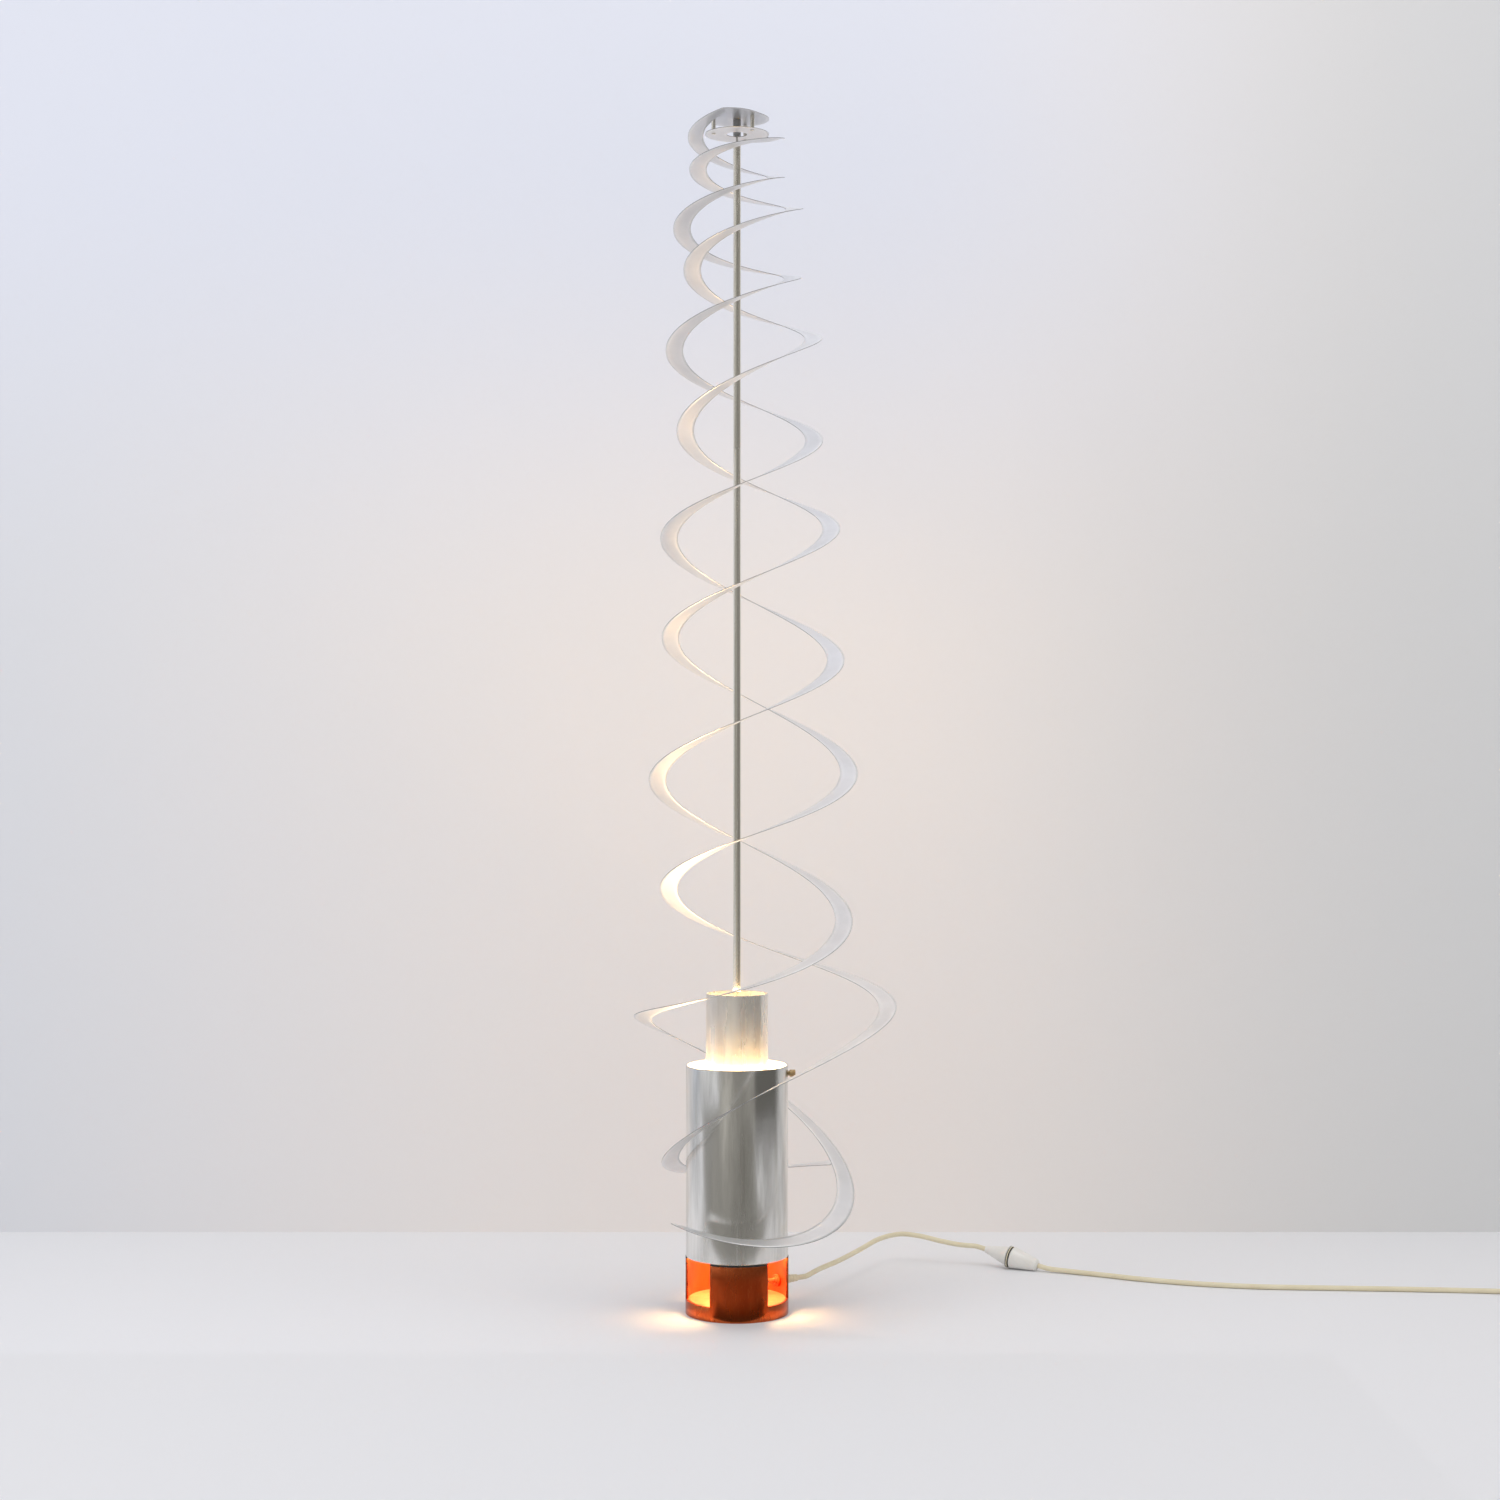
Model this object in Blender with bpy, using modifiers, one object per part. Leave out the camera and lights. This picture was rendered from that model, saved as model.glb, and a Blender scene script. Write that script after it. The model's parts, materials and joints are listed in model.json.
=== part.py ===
"""Kinetic light sculpture: two hanging metal spirals turn on a needle above a warm lamp tube.

Metres, +Z up. The origin is on the rod's axis at the underside of the base, and the front is -Y.
Directions round the rod are angles from the front, growing towards the right (+X).
"""

import math

import bmesh
import bpy
from mathutils import Vector

# Fits
clearance = 0.0003
overrun = 0.004
merge_distance = 0.00001
edge_bevel = 0.0004

# Base: a copper ring with a low band, three pillars and three windows
base_radius = 0.0605
base_wall = 0.003
band_height = 0.017
pillar_height = 0.0645
window_angle = math.radians(52)
window_count = 3
front_pillar_angle = math.radians(2.8)
weight_height = 0.0137
socket_floor = 0.004
pad_thickness = 0.0019

# Centre rod
rod_radius = 0.0045
rod_joint_height = 1.015
rod_top_height = 1.374
rod_chamfer = 0.0004
stud_radius = 0.0022
stud_reach = 0.012
washer_radius = 0.010
washer_thickness = 0.0015
nut_radius = 0.0094
nut_height = 0.006
collar_radius = 0.010
collar_height = 0.008
collar_screw_radius = 0.0015

# Lamp bracket and its three lamps
bracket_height = 0.070
bracket_thickness = 0.002
bracket_hub_radius = 0.0155
arm_half_width = 0.006
lamp_circle_radius = 0.032
eye_radius = 0.0105
nipple_radius = 0.0047
nipple_bore_radius = 0.0025
nipple_drop = 0.0095
holder_nut_radius = 0.0085
holder_nut_height = 0.004
holder_radius = 0.0135
holder_foot_radius = 0.011
holder_height = 0.028
holder_base_height = 0.006
cap_radius = 0.007
cap_height = 0.027
cap_wall = 0.0012
cap_recess = 0.008
cap_foot = 0.0036
bulb_radius = 0.0175
bulb_length = 0.084
bulb_wall = 0.0008
block_length = 0.020
block_width = 0.0085
block_height = 0.010
block_offset = 0.0104
wire_radius = 0.0011

# Tubes and the spider between them
main_tube_radius = 0.060
main_tube_wall = 0.002
main_tube_top = 0.291
chimney_radius = 0.0363
chimney_wall = 0.0012
chimney_above_lamps = 0.0431
chimney_rise = 0.084
spider_ring_wall = 0.002
spider_height = 0.008
spider_arm_thickness = 0.0025
spider_arm_inset = 0.0005
boss_radius = 0.0048
boss_length = 0.012

# Thumb screw, on the right under the rim
screw_below_rim = 0.010
screw_radius = 0.002
screw_reach = 0.010
screw_neck_radius = 0.003
screw_neck_length = 0.0015
knob_radius = 0.0042
knob_length = 0.007
knob_lobes = 12
knob_lobe_share = 0.06

# Rotor: two spirals, each cut from one thin disc, on a bush that sits on the needle
sheet_thickness = 0.0006
hub_radius = 0.0376
strip_width = 0.0205
slit_width = 0.0006
root_divisions = 12
rim_divisions = 60
upper_hub_rise = 0.029
hub_spacing = 0.018
lower_hub_hole_radius = 0.012
post_circle_radius = 0.028
post_radius = 0.0025
post_pin_radius = 0.0012
post_head_height = 0.0008
post_count = 3
post_angle = math.radians(40)
needle_radius = 0.0012
needle_sink = 0.010
needle_point = 0.004
bush_radius = 0.0045
bush_length = 0.020
bush_bore_radius = 0.0025
bush_roof = 0.004
bush_cup = 0.003
bush_pin_radius = 0.0022
bush_head_height = 0.0018
bush_head_radius = 0.0036

# How the spirals hang. Each table runs evenly from the hub to the free end.
upper_turns = 6.1
upper_slit_angle = math.radians(-18)
upper_reach = 0.129
upper_radius_shares = (0.418, 0.512, 0.648, 0.767, 0.908, 1.0, 0.92)
upper_end_height = 0.0825
upper_drop_shares = (0, 0.0797, 0.1827, 0.3471, 0.5594, 0.7942, 1.0)
upper_lean = 0.0205
upper_lean_shares = (0, -0.32, 0.04, 0.50, 0.78, 0.35, 1.0)
upper_side_slope_shares = (0, 0.042, -0.014, -0.037, -0.507)
upper_front_slope_shares = (0, -0.059, 0.035, -0.019, 0.198)

lower_turns = 5.89
lower_slit_angle = math.radians(111.6)
lower_reach = 0.1429
lower_radius_shares = (0.383, 0.469, 0.576, 0.679, 0.807, 0.948, 1.0)
lower_end_height = 0.1367
lower_drop_shares = (0, 0.0642, 0.1799, 0.3493, 0.5596, 0.7988, 1.0)
lower_lean = 0.0535
lower_lean_shares = (0, 0.17, 0.29, 0.41, 0.39, 0.89, 1.0)
lower_side_slope_shares = (0, 0.037, 0.030, -0.058, 0.439)
lower_front_slope_shares = (0, -0.051, -0.021, 0.005, -0.068)

# Flex: gland in the right rear pillar, arch to an in-line connector, then along the surface
cord_radius = 0.0031
cord_height = 0.031
cord_rest = 0.0001
gland_flange_radius = 0.0066
gland_flange_thickness = 0.0016
gland_neck_radius = 0.0048
gland_neck_length = 0.0085
gland_sleeve_length = 0.022
gland_sleeve_radius = 0.0055
gland_tip_radius = 0.0042
gland_nut_radius = 0.0075
gland_nut_height = 0.003
inner_lead_reach = 0.0437
point_spacing = 0.0186
lamp_flex_route = (
    (0.1000, 0.0890, 0.0325),
    (0.1260, 0.1360, 0.0335),
    (0.1530, 0.1950, 0.0345),
    (0.1810, 0.2590, 0.0355),
    (0.2090, 0.2930, 0.0350),
    (0.2350, 0.2930, 0.0325),
    (0.2600, 0.2790, 0.0290),
    (0.2840, 0.2725, 0.0255),
)
supply_flex_route = (
    (0.4070, 0.2175, 0.0040),
    (0.4310, 0.2075, 0.0032),
    (0.4655, 0.1885, 0.0032),
    (0.5000, 0.1690, 0.0032),
    (0.5345, 0.1535, 0.0032),
    (0.5700, 0.1400, 0.0032),
    (0.6160, 0.1285, 0.0032),
    (0.6570, 0.1220, 0.0032),
    (0.7500, 0.1150, 0.0032),
    (0.8300, 0.1085, 0.0032),
    (0.9000, 0.1015, 0.0032),
    (0.9500, 0.0935, 0.0036),
)

# In-line connector: two cones, seam to seam, tilted until the socket lies on the surface
connector_place = (0.3490, 0.2475)
connector_turn = math.radians(-28.5)
connector_radius = 0.014
connector_half_length = 0.0365
connector_gap = 0.0008
plug_flange_length = 0.0045
plug_cone_radius = 0.0122
plug_tip_radius = 0.0044
socket_barrel_length = 0.0015
socket_end_radius = 0.0076
socket_round_length = 0.002
socket_tip_radius = 0.0046
inline_pin_radius = 0.002
inline_pin_spacing = 0.010
inline_pin_reach = 0.015
inline_pin_sink = 0.006

# Put-away coil, its tie and the mains plug
coil_place = (1.000, 0.1310)
coil_radius = 0.0405
coil_pitch = 0.0069
coil_layer_pitch = 0.0067
coil_turns = 4.25
coil_climb_turns = 0.5
coil_points_per_turn = 24
tie_width = 0.008
tie_thickness = 0.0008
tie_gap = 0.0006
tie_corner = 0.003
plug_lead_length = 0.046
mains_plug_length = 0.036
mains_plug_width = 0.035
mains_plug_neck = 0.011
mains_plug_thickness = 0.0137
mains_plug_bevel = 0.0018
plug_shoulder_share = 0.45
mains_pin_radius = 0.002
mains_pin_length = 0.019
mains_pin_spacing = 0.0186
mains_pin_sink = 0.007

tube_segments = 48
rod_segments = 20
small_segments = 16
fine_segments = 12
strip_steps_per_turn = 24

# Worked-out sizes
right_angle = math.pi / 2
full_turn = 2 * math.pi
floor_bottom = weight_height + clearance
base_inner_radius = base_radius - base_wall
main_tube_bottom = pillar_height + pad_thickness + 2 * clearance
main_tube_inner_radius = main_tube_radius - main_tube_wall
screw_height = main_tube_top - screw_below_rim
chimney_top = main_tube_top + chimney_rise
upper_hub_height = rod_top_height + upper_hub_rise
lower_hub_height = upper_hub_height - hub_spacing
bush_bottom = upper_hub_height - bush_length
holder_bottom = bracket_height + bracket_thickness + clearance
bore_floor = holder_bottom + holder_base_height
holder_top = bore_floor + holder_height
lamp_angles = {
    "front": front_pillar_angle,
    "right": front_pillar_angle + full_turn / window_count,
    "left": front_pillar_angle - full_turn / window_count,
}
cord_angle = lamp_angles["right"]
block_angle = (lamp_angles["front"] + lamp_angles["right"]) / 2

for old in list(bpy.data.objects):
    bpy.data.objects.remove(old)


def new_collection(name):
    made = bpy.data.collections.new(name)
    bpy.context.scene.collection.children.link(made)
    return made


sculpture = new_collection("kinetic_light_sculpture")
cutters = new_collection("cutters")


def finish(name, colour, metallic, roughness, alpha=1.0, glow=0.0):
    made = bpy.data.materials.new(name)
    made.use_nodes = True
    shader = made.node_tree.nodes["Principled BSDF"]
    shader.inputs["Base Color"].default_value = (*colour, 1.0)
    shader.inputs["Metallic"].default_value = metallic
    shader.inputs["Roughness"].default_value = roughness
    shader.inputs["Alpha"].default_value = alpha
    shader.inputs["Emission Color"].default_value = (*colour, 1.0)
    shader.inputs["Emission Strength"].default_value = glow
    return made


copper = finish("copper", (0.60, 0.17, 0.05), 1.0, 0.35)
aluminium = finish("aluminium", (0.72, 0.72, 0.70), 1.0, 0.30)
thin_sheet = finish("thin_sheet", (0.80, 0.80, 0.80), 1.0, 0.25)
steel = finish("steel", (0.45, 0.45, 0.44), 1.0, 0.40)
brass = finish("brass", (0.75, 0.50, 0.20), 1.0, 0.30)
black_rubber = finish("black_rubber", (0.02, 0.02, 0.02), 0.0, 0.70)
black_plastic = finish("black_plastic", (0.02, 0.02, 0.02), 0.0, 0.45)
white_plastic = finish("white_plastic", (0.80, 0.79, 0.75), 0.0, 0.35)
cream_vinyl = finish("cream_vinyl", (0.75, 0.68, 0.48), 0.0, 0.45)
ceramic = finish("ceramic", (0.85, 0.83, 0.78), 0.0, 0.30)
bulb_glass = finish("bulb_glass", (1.0, 0.78, 0.50), 0.0, 0.20, alpha=0.6, glow=4.0)


# Building tools


def place(obj, material=None, parent=None):
    """Links a piece, or a cutter where there is no material, and hangs it on its parent."""
    if material:
        sculpture.objects.link(obj)
        obj.data.materials.append(material)
    else:
        cutters.objects.link(obj)
        obj.hide_render = True
        obj.display_type = "WIRE"
    obj.parent = parent
    return obj


def empty(name, location=(0, 0, 0)):
    made = bpy.data.objects.new(name, None)
    made.location = location
    made.empty_display_size = rod_radius
    sculpture.objects.link(made)
    return made


def mesh_piece(name, bm, material=None, parent=None):
    bmesh.ops.recalc_face_normals(bm, faces=bm.faces)
    mesh = bpy.data.meshes.new(name)
    bm.to_mesh(mesh)
    bm.free()
    mesh.shade_smooth()
    mesh.set_sharp_from_angle(angle=math.radians(35))
    return place(bpy.data.objects.new(name, mesh), material, parent)


def around(angle, radius, height=0.0):
    """The point at an angle from the front, a distance from the rod's axis and a height."""
    return Vector((radius * math.sin(angle), -radius * math.cos(angle), height))


def point_along(obj, direction):
    """Turns an object so that its own Z runs along a direction."""
    obj.rotation_euler = Vector(direction).to_track_quat("Z", "Y").to_euler()


def turned(name, profile, material=None, parent=None, segments=small_segments, closed=False):
    """A profile of (radius, height) points, listed down its outer side, turned about Z."""
    mesh = bpy.data.meshes.new(name)
    edges = [(i, i + 1) for i in range(len(profile) - 1)]
    if closed:
        edges.append((len(profile) - 1, 0))
    mesh.from_pydata([(radius, 0, height) for radius, height in profile], edges, [])
    made = place(bpy.data.objects.new(name, mesh), material, parent)
    screw = made.modifiers.new("turn", "SCREW")
    screw.steps = segments
    screw.render_steps = segments
    screw.use_merge_vertices = True
    screw.merge_threshold = merge_distance
    screw.use_smooth_shade = True
    return made


def ring_profile(outer, inner, bottom, top, bevel=0.0):
    """The section of a ring, with small chamfers where a bevel is given."""
    if not bevel:
        return [(outer, top), (outer, bottom), (inner, bottom), (inner, top)]
    return [
        (outer - bevel, top),
        (outer, top - bevel),
        (outer, bottom + bevel),
        (outer - bevel, bottom),
        (inner + bevel, bottom),
        (inner, bottom + bevel),
        (inner, top - bevel),
        (inner + bevel, top),
    ]


def cylinder(
    name, radius, depth, centre, axis=(0, 0, 1), segments=small_segments, material=None, parent=None
):
    bm = bmesh.new()
    bmesh.ops.create_cone(
        bm, cap_ends=True, segments=segments, radius1=radius, radius2=radius, depth=depth
    )
    made = mesh_piece(name, bm, material, parent)
    made.location = centre
    point_along(made, axis)
    return made


def box(name, size, centre, turn=0.0, material=None):
    bm = bmesh.new()
    bmesh.ops.create_cube(bm, size=1)
    bmesh.ops.scale(bm, vec=size, verts=bm.verts)
    made = mesh_piece(name, bm, material)
    made.location = centre
    made.rotation_euler = (0, 0, turn)
    return made


def round_edges(obj, width):
    """Welds a piece, then rounds its edges by a width."""
    weld = obj.modifiers.new("weld", "WELD")
    weld.merge_threshold = merge_distance
    edge = obj.modifiers.new("edges", "BEVEL")
    edge.width = width
    edge.segments = 2
    edge.angle_limit = math.radians(35)


def combine(target, other, operation="DIFFERENCE"):
    step = target.modifiers.new(operation.lower(), "BOOLEAN")
    step.operation = operation
    step.object = other
    step.solver = "EXACT"


def plate(name, outlines, thickness, bottom, material=None, parent=None):
    """Flat outlines in XY, filled between the outer one and the holes, from a height upwards."""
    curve = bpy.data.curves.new(name, "CURVE")
    curve.dimensions = "2D"
    curve.fill_mode = "BOTH"
    curve.extrude = thickness / 2
    for outline in outlines:
        spline = curve.splines.new("POLY")
        spline.points.add(len(outline) - 1)
        for point, (x, y) in zip(spline.points, outline):
            point.co = (x, y, 0, 1)
        spline.use_cyclic_u = True
    made = place(bpy.data.objects.new(name, curve), material, parent)
    made.location = (0, 0, bottom + thickness / 2)
    return made


def as_mesh(obj):
    """Turns a curve into a mesh under the same name, in its place, with its caps welded on."""
    bpy.context.view_layer.update()
    mesh = bpy.data.meshes.new_from_object(obj.evaluated_get(bpy.context.evaluated_depsgraph_get()))
    bm = bmesh.new()
    bm.from_mesh(mesh)
    bmesh.ops.remove_doubles(bm, verts=bm.verts, dist=merge_distance)
    bmesh.ops.recalc_face_normals(bm, faces=bm.faces)
    bm.to_mesh(mesh)
    bm.free()
    name, matrix, parent = obj.name, obj.matrix_world.copy(), obj.parent
    is_cutter = obj.hide_render
    bpy.data.objects.remove(obj)
    made = bpy.data.objects.new(name, mesh)
    if is_cutter:
        place(made)
    else:
        sculpture.objects.link(made)
        made.parent = parent
    made.matrix_world = matrix
    return made


def arc(radius, start, end, count):
    """Points of an arc about the origin, in XY."""
    step = (end - start) / (count - 1)
    return [
        (radius * math.cos(start + step * i), radius * math.sin(start + step * i)) for i in range(count)
    ]


def circle_at(centre, radius, count=small_segments):
    """The outline of a hole about a point, in XY, with a corner towards +X."""
    points = arc(radius, full_turn * (count - 1) / count, 0, count)
    return [(centre[0] + x, centre[1] + y) for x, y in points]


def sector(radius_in, radius_out, middle, angle, count=12):
    """The outline of a part of a ring, its middle at an angle from the front."""
    start = middle - right_angle - angle / 2
    return arc(radius_out, start, start + angle, count) + arc(radius_in, start + angle, start, count)


def smooth_at(before, start, end, after, t):
    """A value on the smooth curve from start to end that also heeds their neighbours."""
    bend = (end - before) + (2 * before - 5 * start + 4 * end - after) * t
    return start + (bend + (3 * start - before - 3 * end + after) * (t * t)) * (t / 2)


def spread(values, share):
    """A smooth value read from evenly spaced ones, at a share of the way along them."""
    at = min(max(share, 0.0), 1.0) * (len(values) - 1)
    low = min(int(at), len(values) - 2)
    ends = (2 * values[0] - values[1], *values, 2 * values[-1] - values[-2])
    return smooth_at(*ends[low : low + 4], at - low)


def smooth_path(points, spacing):
    """Straight first and last stretches, and evenly spaced points of a smooth curve between them."""
    points = [Vector(point) for point in points]
    fine = [
        smooth_at(*points[low : low + 4], step / 16) for low in range(len(points) - 3) for step in range(16)
    ]
    fine.append(points[-2])
    reached = [0.0]
    for a, b in zip(fine, fine[1:]):
        reached.append(reached[-1] + (b - a).length)
    count = max(2, round(reached[-1] / spacing))
    made = [points[0]]
    at = 0
    for step in range(count + 1):
        wanted = reached[-1] * step / count
        while at < len(reached) - 2 and reached[at + 1] < wanted:
            at += 1
        made.append(fine[at].lerp(fine[at + 1], (wanted - reached[at]) / (reached[at + 1] - reached[at])))
    return [*made, points[-1]]


def tube(name, points, radius, material, resolution=2):
    curve = bpy.data.curves.new(name, "CURVE")
    curve.dimensions = "3D"
    curve.bevel_depth = radius
    curve.bevel_resolution = resolution
    curve.use_fill_caps = True
    spline = curve.splines.new("POLY")
    spline.points.add(len(points) - 1)
    for point, co in zip(spline.points, points):
        point.co = (*co, 1)
    print(name, "length", round(sum((b - a).length for a, b in zip(points, points[1:])), 4))
    return place(bpy.data.objects.new(name, curve), material)


def hex_nut(name, radius, bore, bottom, height, material, parent=None, corners=small_segments):
    outline = arc(radius, 0, full_turn * 5 / 6, 6)
    return plate(name, [outline, circle_at((0, 0), bore, corners)], height, bottom, material, parent)


# Base

base_ring = turned(
    "base_ring",
    ring_profile(base_radius, base_inner_radius, 0, pillar_height, edge_bevel),
    copper,
    segments=tube_segments,
    closed=True,
)
for number in range(window_count):
    middle = front_pillar_angle + (number + 0.5) * full_turn / window_count
    outline = sector(base_inner_radius - overrun, base_radius + overrun, middle, window_angle)
    window = plate(
        f"window_cutter_{number + 1}", [outline], pillar_height - band_height + overrun, band_height
    )
    combine(base_ring, as_mesh(window))
gland_hole = cylinder(
    "gland_hole_cutter",
    gland_neck_radius + clearance,
    base_wall + 2 * overrun,
    around(cord_angle, base_radius - base_wall / 2, cord_height),
    around(cord_angle, 1),
)
combine(base_ring, gland_hole)

turned(
    "base_floor",
    ring_profile(base_inner_radius - clearance, rod_radius + clearance, floor_bottom, band_height),
    copper,
    segments=tube_segments,
    closed=True,
)
turned(
    "base_weight",
    [
        (0, socket_floor),
        (rod_radius + clearance, socket_floor),
        (rod_radius + clearance, weight_height),
        (base_inner_radius - clearance - edge_bevel, weight_height),
        (base_inner_radius - clearance, weight_height - edge_bevel),
        (base_inner_radius - clearance, edge_bevel),
        (base_inner_radius - clearance - edge_bevel, 0),
        (0, 0),
    ],
    steel,
    segments=tube_segments,
)
pillar_angle = full_turn / window_count - window_angle
for side, angle in lamp_angles.items():
    outline = sector(base_inner_radius, base_radius, angle, pillar_angle)
    plate(f"pad_{side}", [outline], pad_thickness, pillar_height + clearance, black_rubber)

# Centre rod

joint_bore = stud_radius + clearance
rod_lower_top = rod_joint_height - clearance / 2
rod_upper_bottom = rod_joint_height + clearance / 2
turned(
    "rod_lower",
    [
        (0, rod_lower_top - stud_reach),
        (joint_bore, rod_lower_top - stud_reach),
        (joint_bore, rod_lower_top),
        (rod_radius - rod_chamfer, rod_lower_top),
        (rod_radius, rod_lower_top - rod_chamfer),
        (rod_radius, socket_floor + clearance + rod_chamfer),
        (rod_radius - rod_chamfer, socket_floor + clearance),
        (0, socket_floor + clearance),
    ],
    aluminium,
    segments=rod_segments,
)
turned(
    "rod_upper",
    [
        (0, rod_top_height - needle_sink),
        (needle_radius + clearance, rod_top_height - needle_sink),
        (needle_radius + clearance, rod_top_height),
        (rod_radius - rod_chamfer, rod_top_height),
        (rod_radius, rod_top_height - rod_chamfer),
        (rod_radius, rod_upper_bottom + rod_chamfer),
        (rod_radius - rod_chamfer, rod_upper_bottom),
        (joint_bore, rod_upper_bottom),
        (joint_bore, rod_upper_bottom + stud_reach),
        (0, rod_upper_bottom + stud_reach),
    ],
    aluminium,
    segments=rod_segments,
)
cylinder(
    "rod_stud", stud_radius, 2 * (stud_reach - clearance), (0, 0, rod_joint_height), material=steel
)
washer_bottom = band_height + clearance
nut_bottom = washer_bottom + washer_thickness + clearance
turned(
    "rod_washer",
    ring_profile(washer_radius, rod_radius + clearance, washer_bottom, nut_bottom - clearance),
    steel,
    segments=rod_segments,
    closed=True,
)
hex_nut(
    "rod_nut", nut_radius, rod_radius + clearance, nut_bottom, nut_height, steel, corners=rod_segments
)

collar_top = bracket_height - clearance
collar_middle = collar_top - collar_height / 2
collar = turned(
    "rod_collar",
    ring_profile(collar_radius, rod_radius + clearance, collar_top - collar_height, collar_top, edge_bevel),
    steel,
    segments=rod_segments,
    closed=True,
)
collar_hole = cylinder(
    "collar_hole_cutter",
    collar_screw_radius + clearance,
    2 * collar_radius - rod_radius,
    around(block_angle, collar_radius, collar_middle),
    around(block_angle, 1),
    segments=fine_segments,
)
combine(collar, collar_hole)
collar_screw_length = collar_radius - rod_radius - 2 * clearance
cylinder(
    "rod_collar_screw",
    collar_screw_radius,
    collar_screw_length,
    around(block_angle, rod_radius + clearance + collar_screw_length / 2, collar_middle),
    around(block_angle, 1),
    segments=fine_segments,
    material=steel,
)

# Lamp bracket: a flat plate with a hub and three arms that end in round eyes


def bracket_outline():
    made = []
    root = math.asin(arm_half_width / bracket_hub_radius)
    eye = math.asin(arm_half_width / eye_radius)
    for angle in sorted(lamp_angles.values()):
        turn = angle - right_angle
        for x, y in arc(eye_radius, eye - math.pi, math.pi - eye, 14):
            along = lamp_circle_radius + x
            across_x, across_y = y * math.sin(turn), y * math.cos(turn)
            made.append((along * math.cos(turn) - across_x, along * math.sin(turn) + across_y))
        made += arc(bracket_hub_radius, turn + root, turn + full_turn / window_count - root, 6)
    return made


bracket_holes = [circle_at((0, 0), rod_radius + clearance, rod_segments)]
for angle in lamp_angles.values():
    bracket_holes.append(circle_at(around(angle, lamp_circle_radius), nipple_radius + clearance))
plate("lamp_bracket", [bracket_outline(), *bracket_holes], bracket_thickness, bracket_height, aluminium)

# Lamps

nipple_end = bracket_height - nipple_drop
cap_bottom = bore_floor + clearance
cap_top = cap_bottom + cap_height
glass_bottom = cap_top - cap_recess + clearance
chimney_bottom = glass_bottom + bulb_length + chimney_above_lamps
glass_neck = cap_radius - cap_wall - clearance
bulb_outline_shares = (
    (0.05, 1.0),
    (0.20, 0.975),
    (0.50, 0.83),
    (0.82, 0.64),
    (1.0, 0.45),
    (0.90, 0.29),
    (0.58, 0.18),
)
for side, angle in lamp_angles.items():
    lamp = empty(f"lamp_{side}", around(angle, lamp_circle_radius))
    turned(
        f"lampholder_{side}",
        [
            (holder_radius - edge_bevel, holder_top),
            (holder_radius, holder_top - edge_bevel),
            (holder_radius, bore_floor),
            (holder_foot_radius, holder_bottom),
            (nipple_radius, holder_bottom),
            (nipple_radius, nipple_end),
            (nipple_bore_radius, nipple_end),
            (nipple_bore_radius, bore_floor),
            (cap_radius + clearance, bore_floor),
            (cap_radius + clearance, holder_top),
        ],
        ceramic,
        lamp,
        closed=True,
    )
    hex_nut(
        f"holder_nut_{side}",
        holder_nut_radius,
        nipple_radius + clearance,
        bracket_height - clearance - holder_nut_height,
        holder_nut_height,
        brass,
        lamp,
    )
    turned(
        f"bulb_cap_{side}",
        [
            (0, cap_top - cap_recess),
            (cap_radius - cap_wall, cap_top - cap_recess),
            (cap_radius - cap_wall, cap_top),
            (cap_radius, cap_top),
            (cap_radius, cap_bottom + cap_foot),
            (cap_radius / 2, cap_bottom),
            (0, cap_bottom),
        ],
        brass,
        lamp,
    )
    glass_outline = [
        (bulb_radius * out, glass_bottom + bulb_length * up) for out, up in bulb_outline_shares
    ]
    bulb = turned(
        f"bulb_{side}",
        [(0, glass_bottom + bulb_length), *glass_outline, (glass_neck, cap_top), (glass_neck, glass_bottom)],
        bulb_glass,
        lamp,
    )
    wall = bulb.modifiers.new("wall", "SOLIDIFY")
    wall.thickness = bulb_wall
    wall.offset = -1

# Wiring between the lamps and the terminal block on the bracket's hub

block_middle = holder_bottom + block_height / 2
block_face = block_offset + block_width / 2
terminal_block = box(
    "terminal_block",
    (block_length, block_width, block_height),
    around(block_angle, block_offset, block_middle),
    block_angle,
    white_plastic,
)
round_edges(terminal_block, edge_bevel)


def at_block(across, out, height):
    """A point in the block's own directions: along its length, outwards, and a height."""
    sideways = Vector((math.cos(block_angle), math.sin(block_angle), 0))
    return around(block_angle, out, height) + sideways * across


def wire_route(start, via_shares, entry_share):
    """A wire's route: its start, shares of the lamp circle and of the rise, then into the block."""
    entry = entry_share * block_length
    made = list(start)
    for across, out, up in via_shares:
        height = nipple_end + up * (block_middle - nipple_end)
        made.append(at_block(across * lamp_circle_radius, out * lamp_circle_radius, height))
    made.append(at_block(entry, block_face + 7 * wire_radius, block_middle - 3 * wire_radius))
    made.append(at_block(entry, block_face + 3 * wire_radius, block_middle))
    made.append(at_block(entry, block_face + clearance, block_middle))
    return smooth_path(made, 5 * wire_radius)


lamp_wire_shares = {
    "front": (((-0.59, 0.69, -0.33), (-0.36, 0.72, 0.09)), -0.40),
    "right": (((0.59, 0.69, -0.33), (0.31, 0.72, 0.09)), 0.33),
    "left": (((-0.44, -0.44, -0.33), (-0.47, 0.12, -0.36), (-0.31, 0.52, -0.2), (-0.2, 0.62, 0.3)), -0.26),
}
for side, (via_shares, entry_share) in lamp_wire_shares.items():
    start = around(lamp_angles[side], lamp_circle_radius, nipple_end - clearance)
    below = start - Vector((0, 0, 2 * wire_radius))
    route = wire_route((start, below), via_shares, entry_share)
    tube(f"lamp_wire_{side}", route, wire_radius, black_plastic, resolution=1)

# Cord gland, the sheathed lead through it and the two cores up to the block

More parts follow.
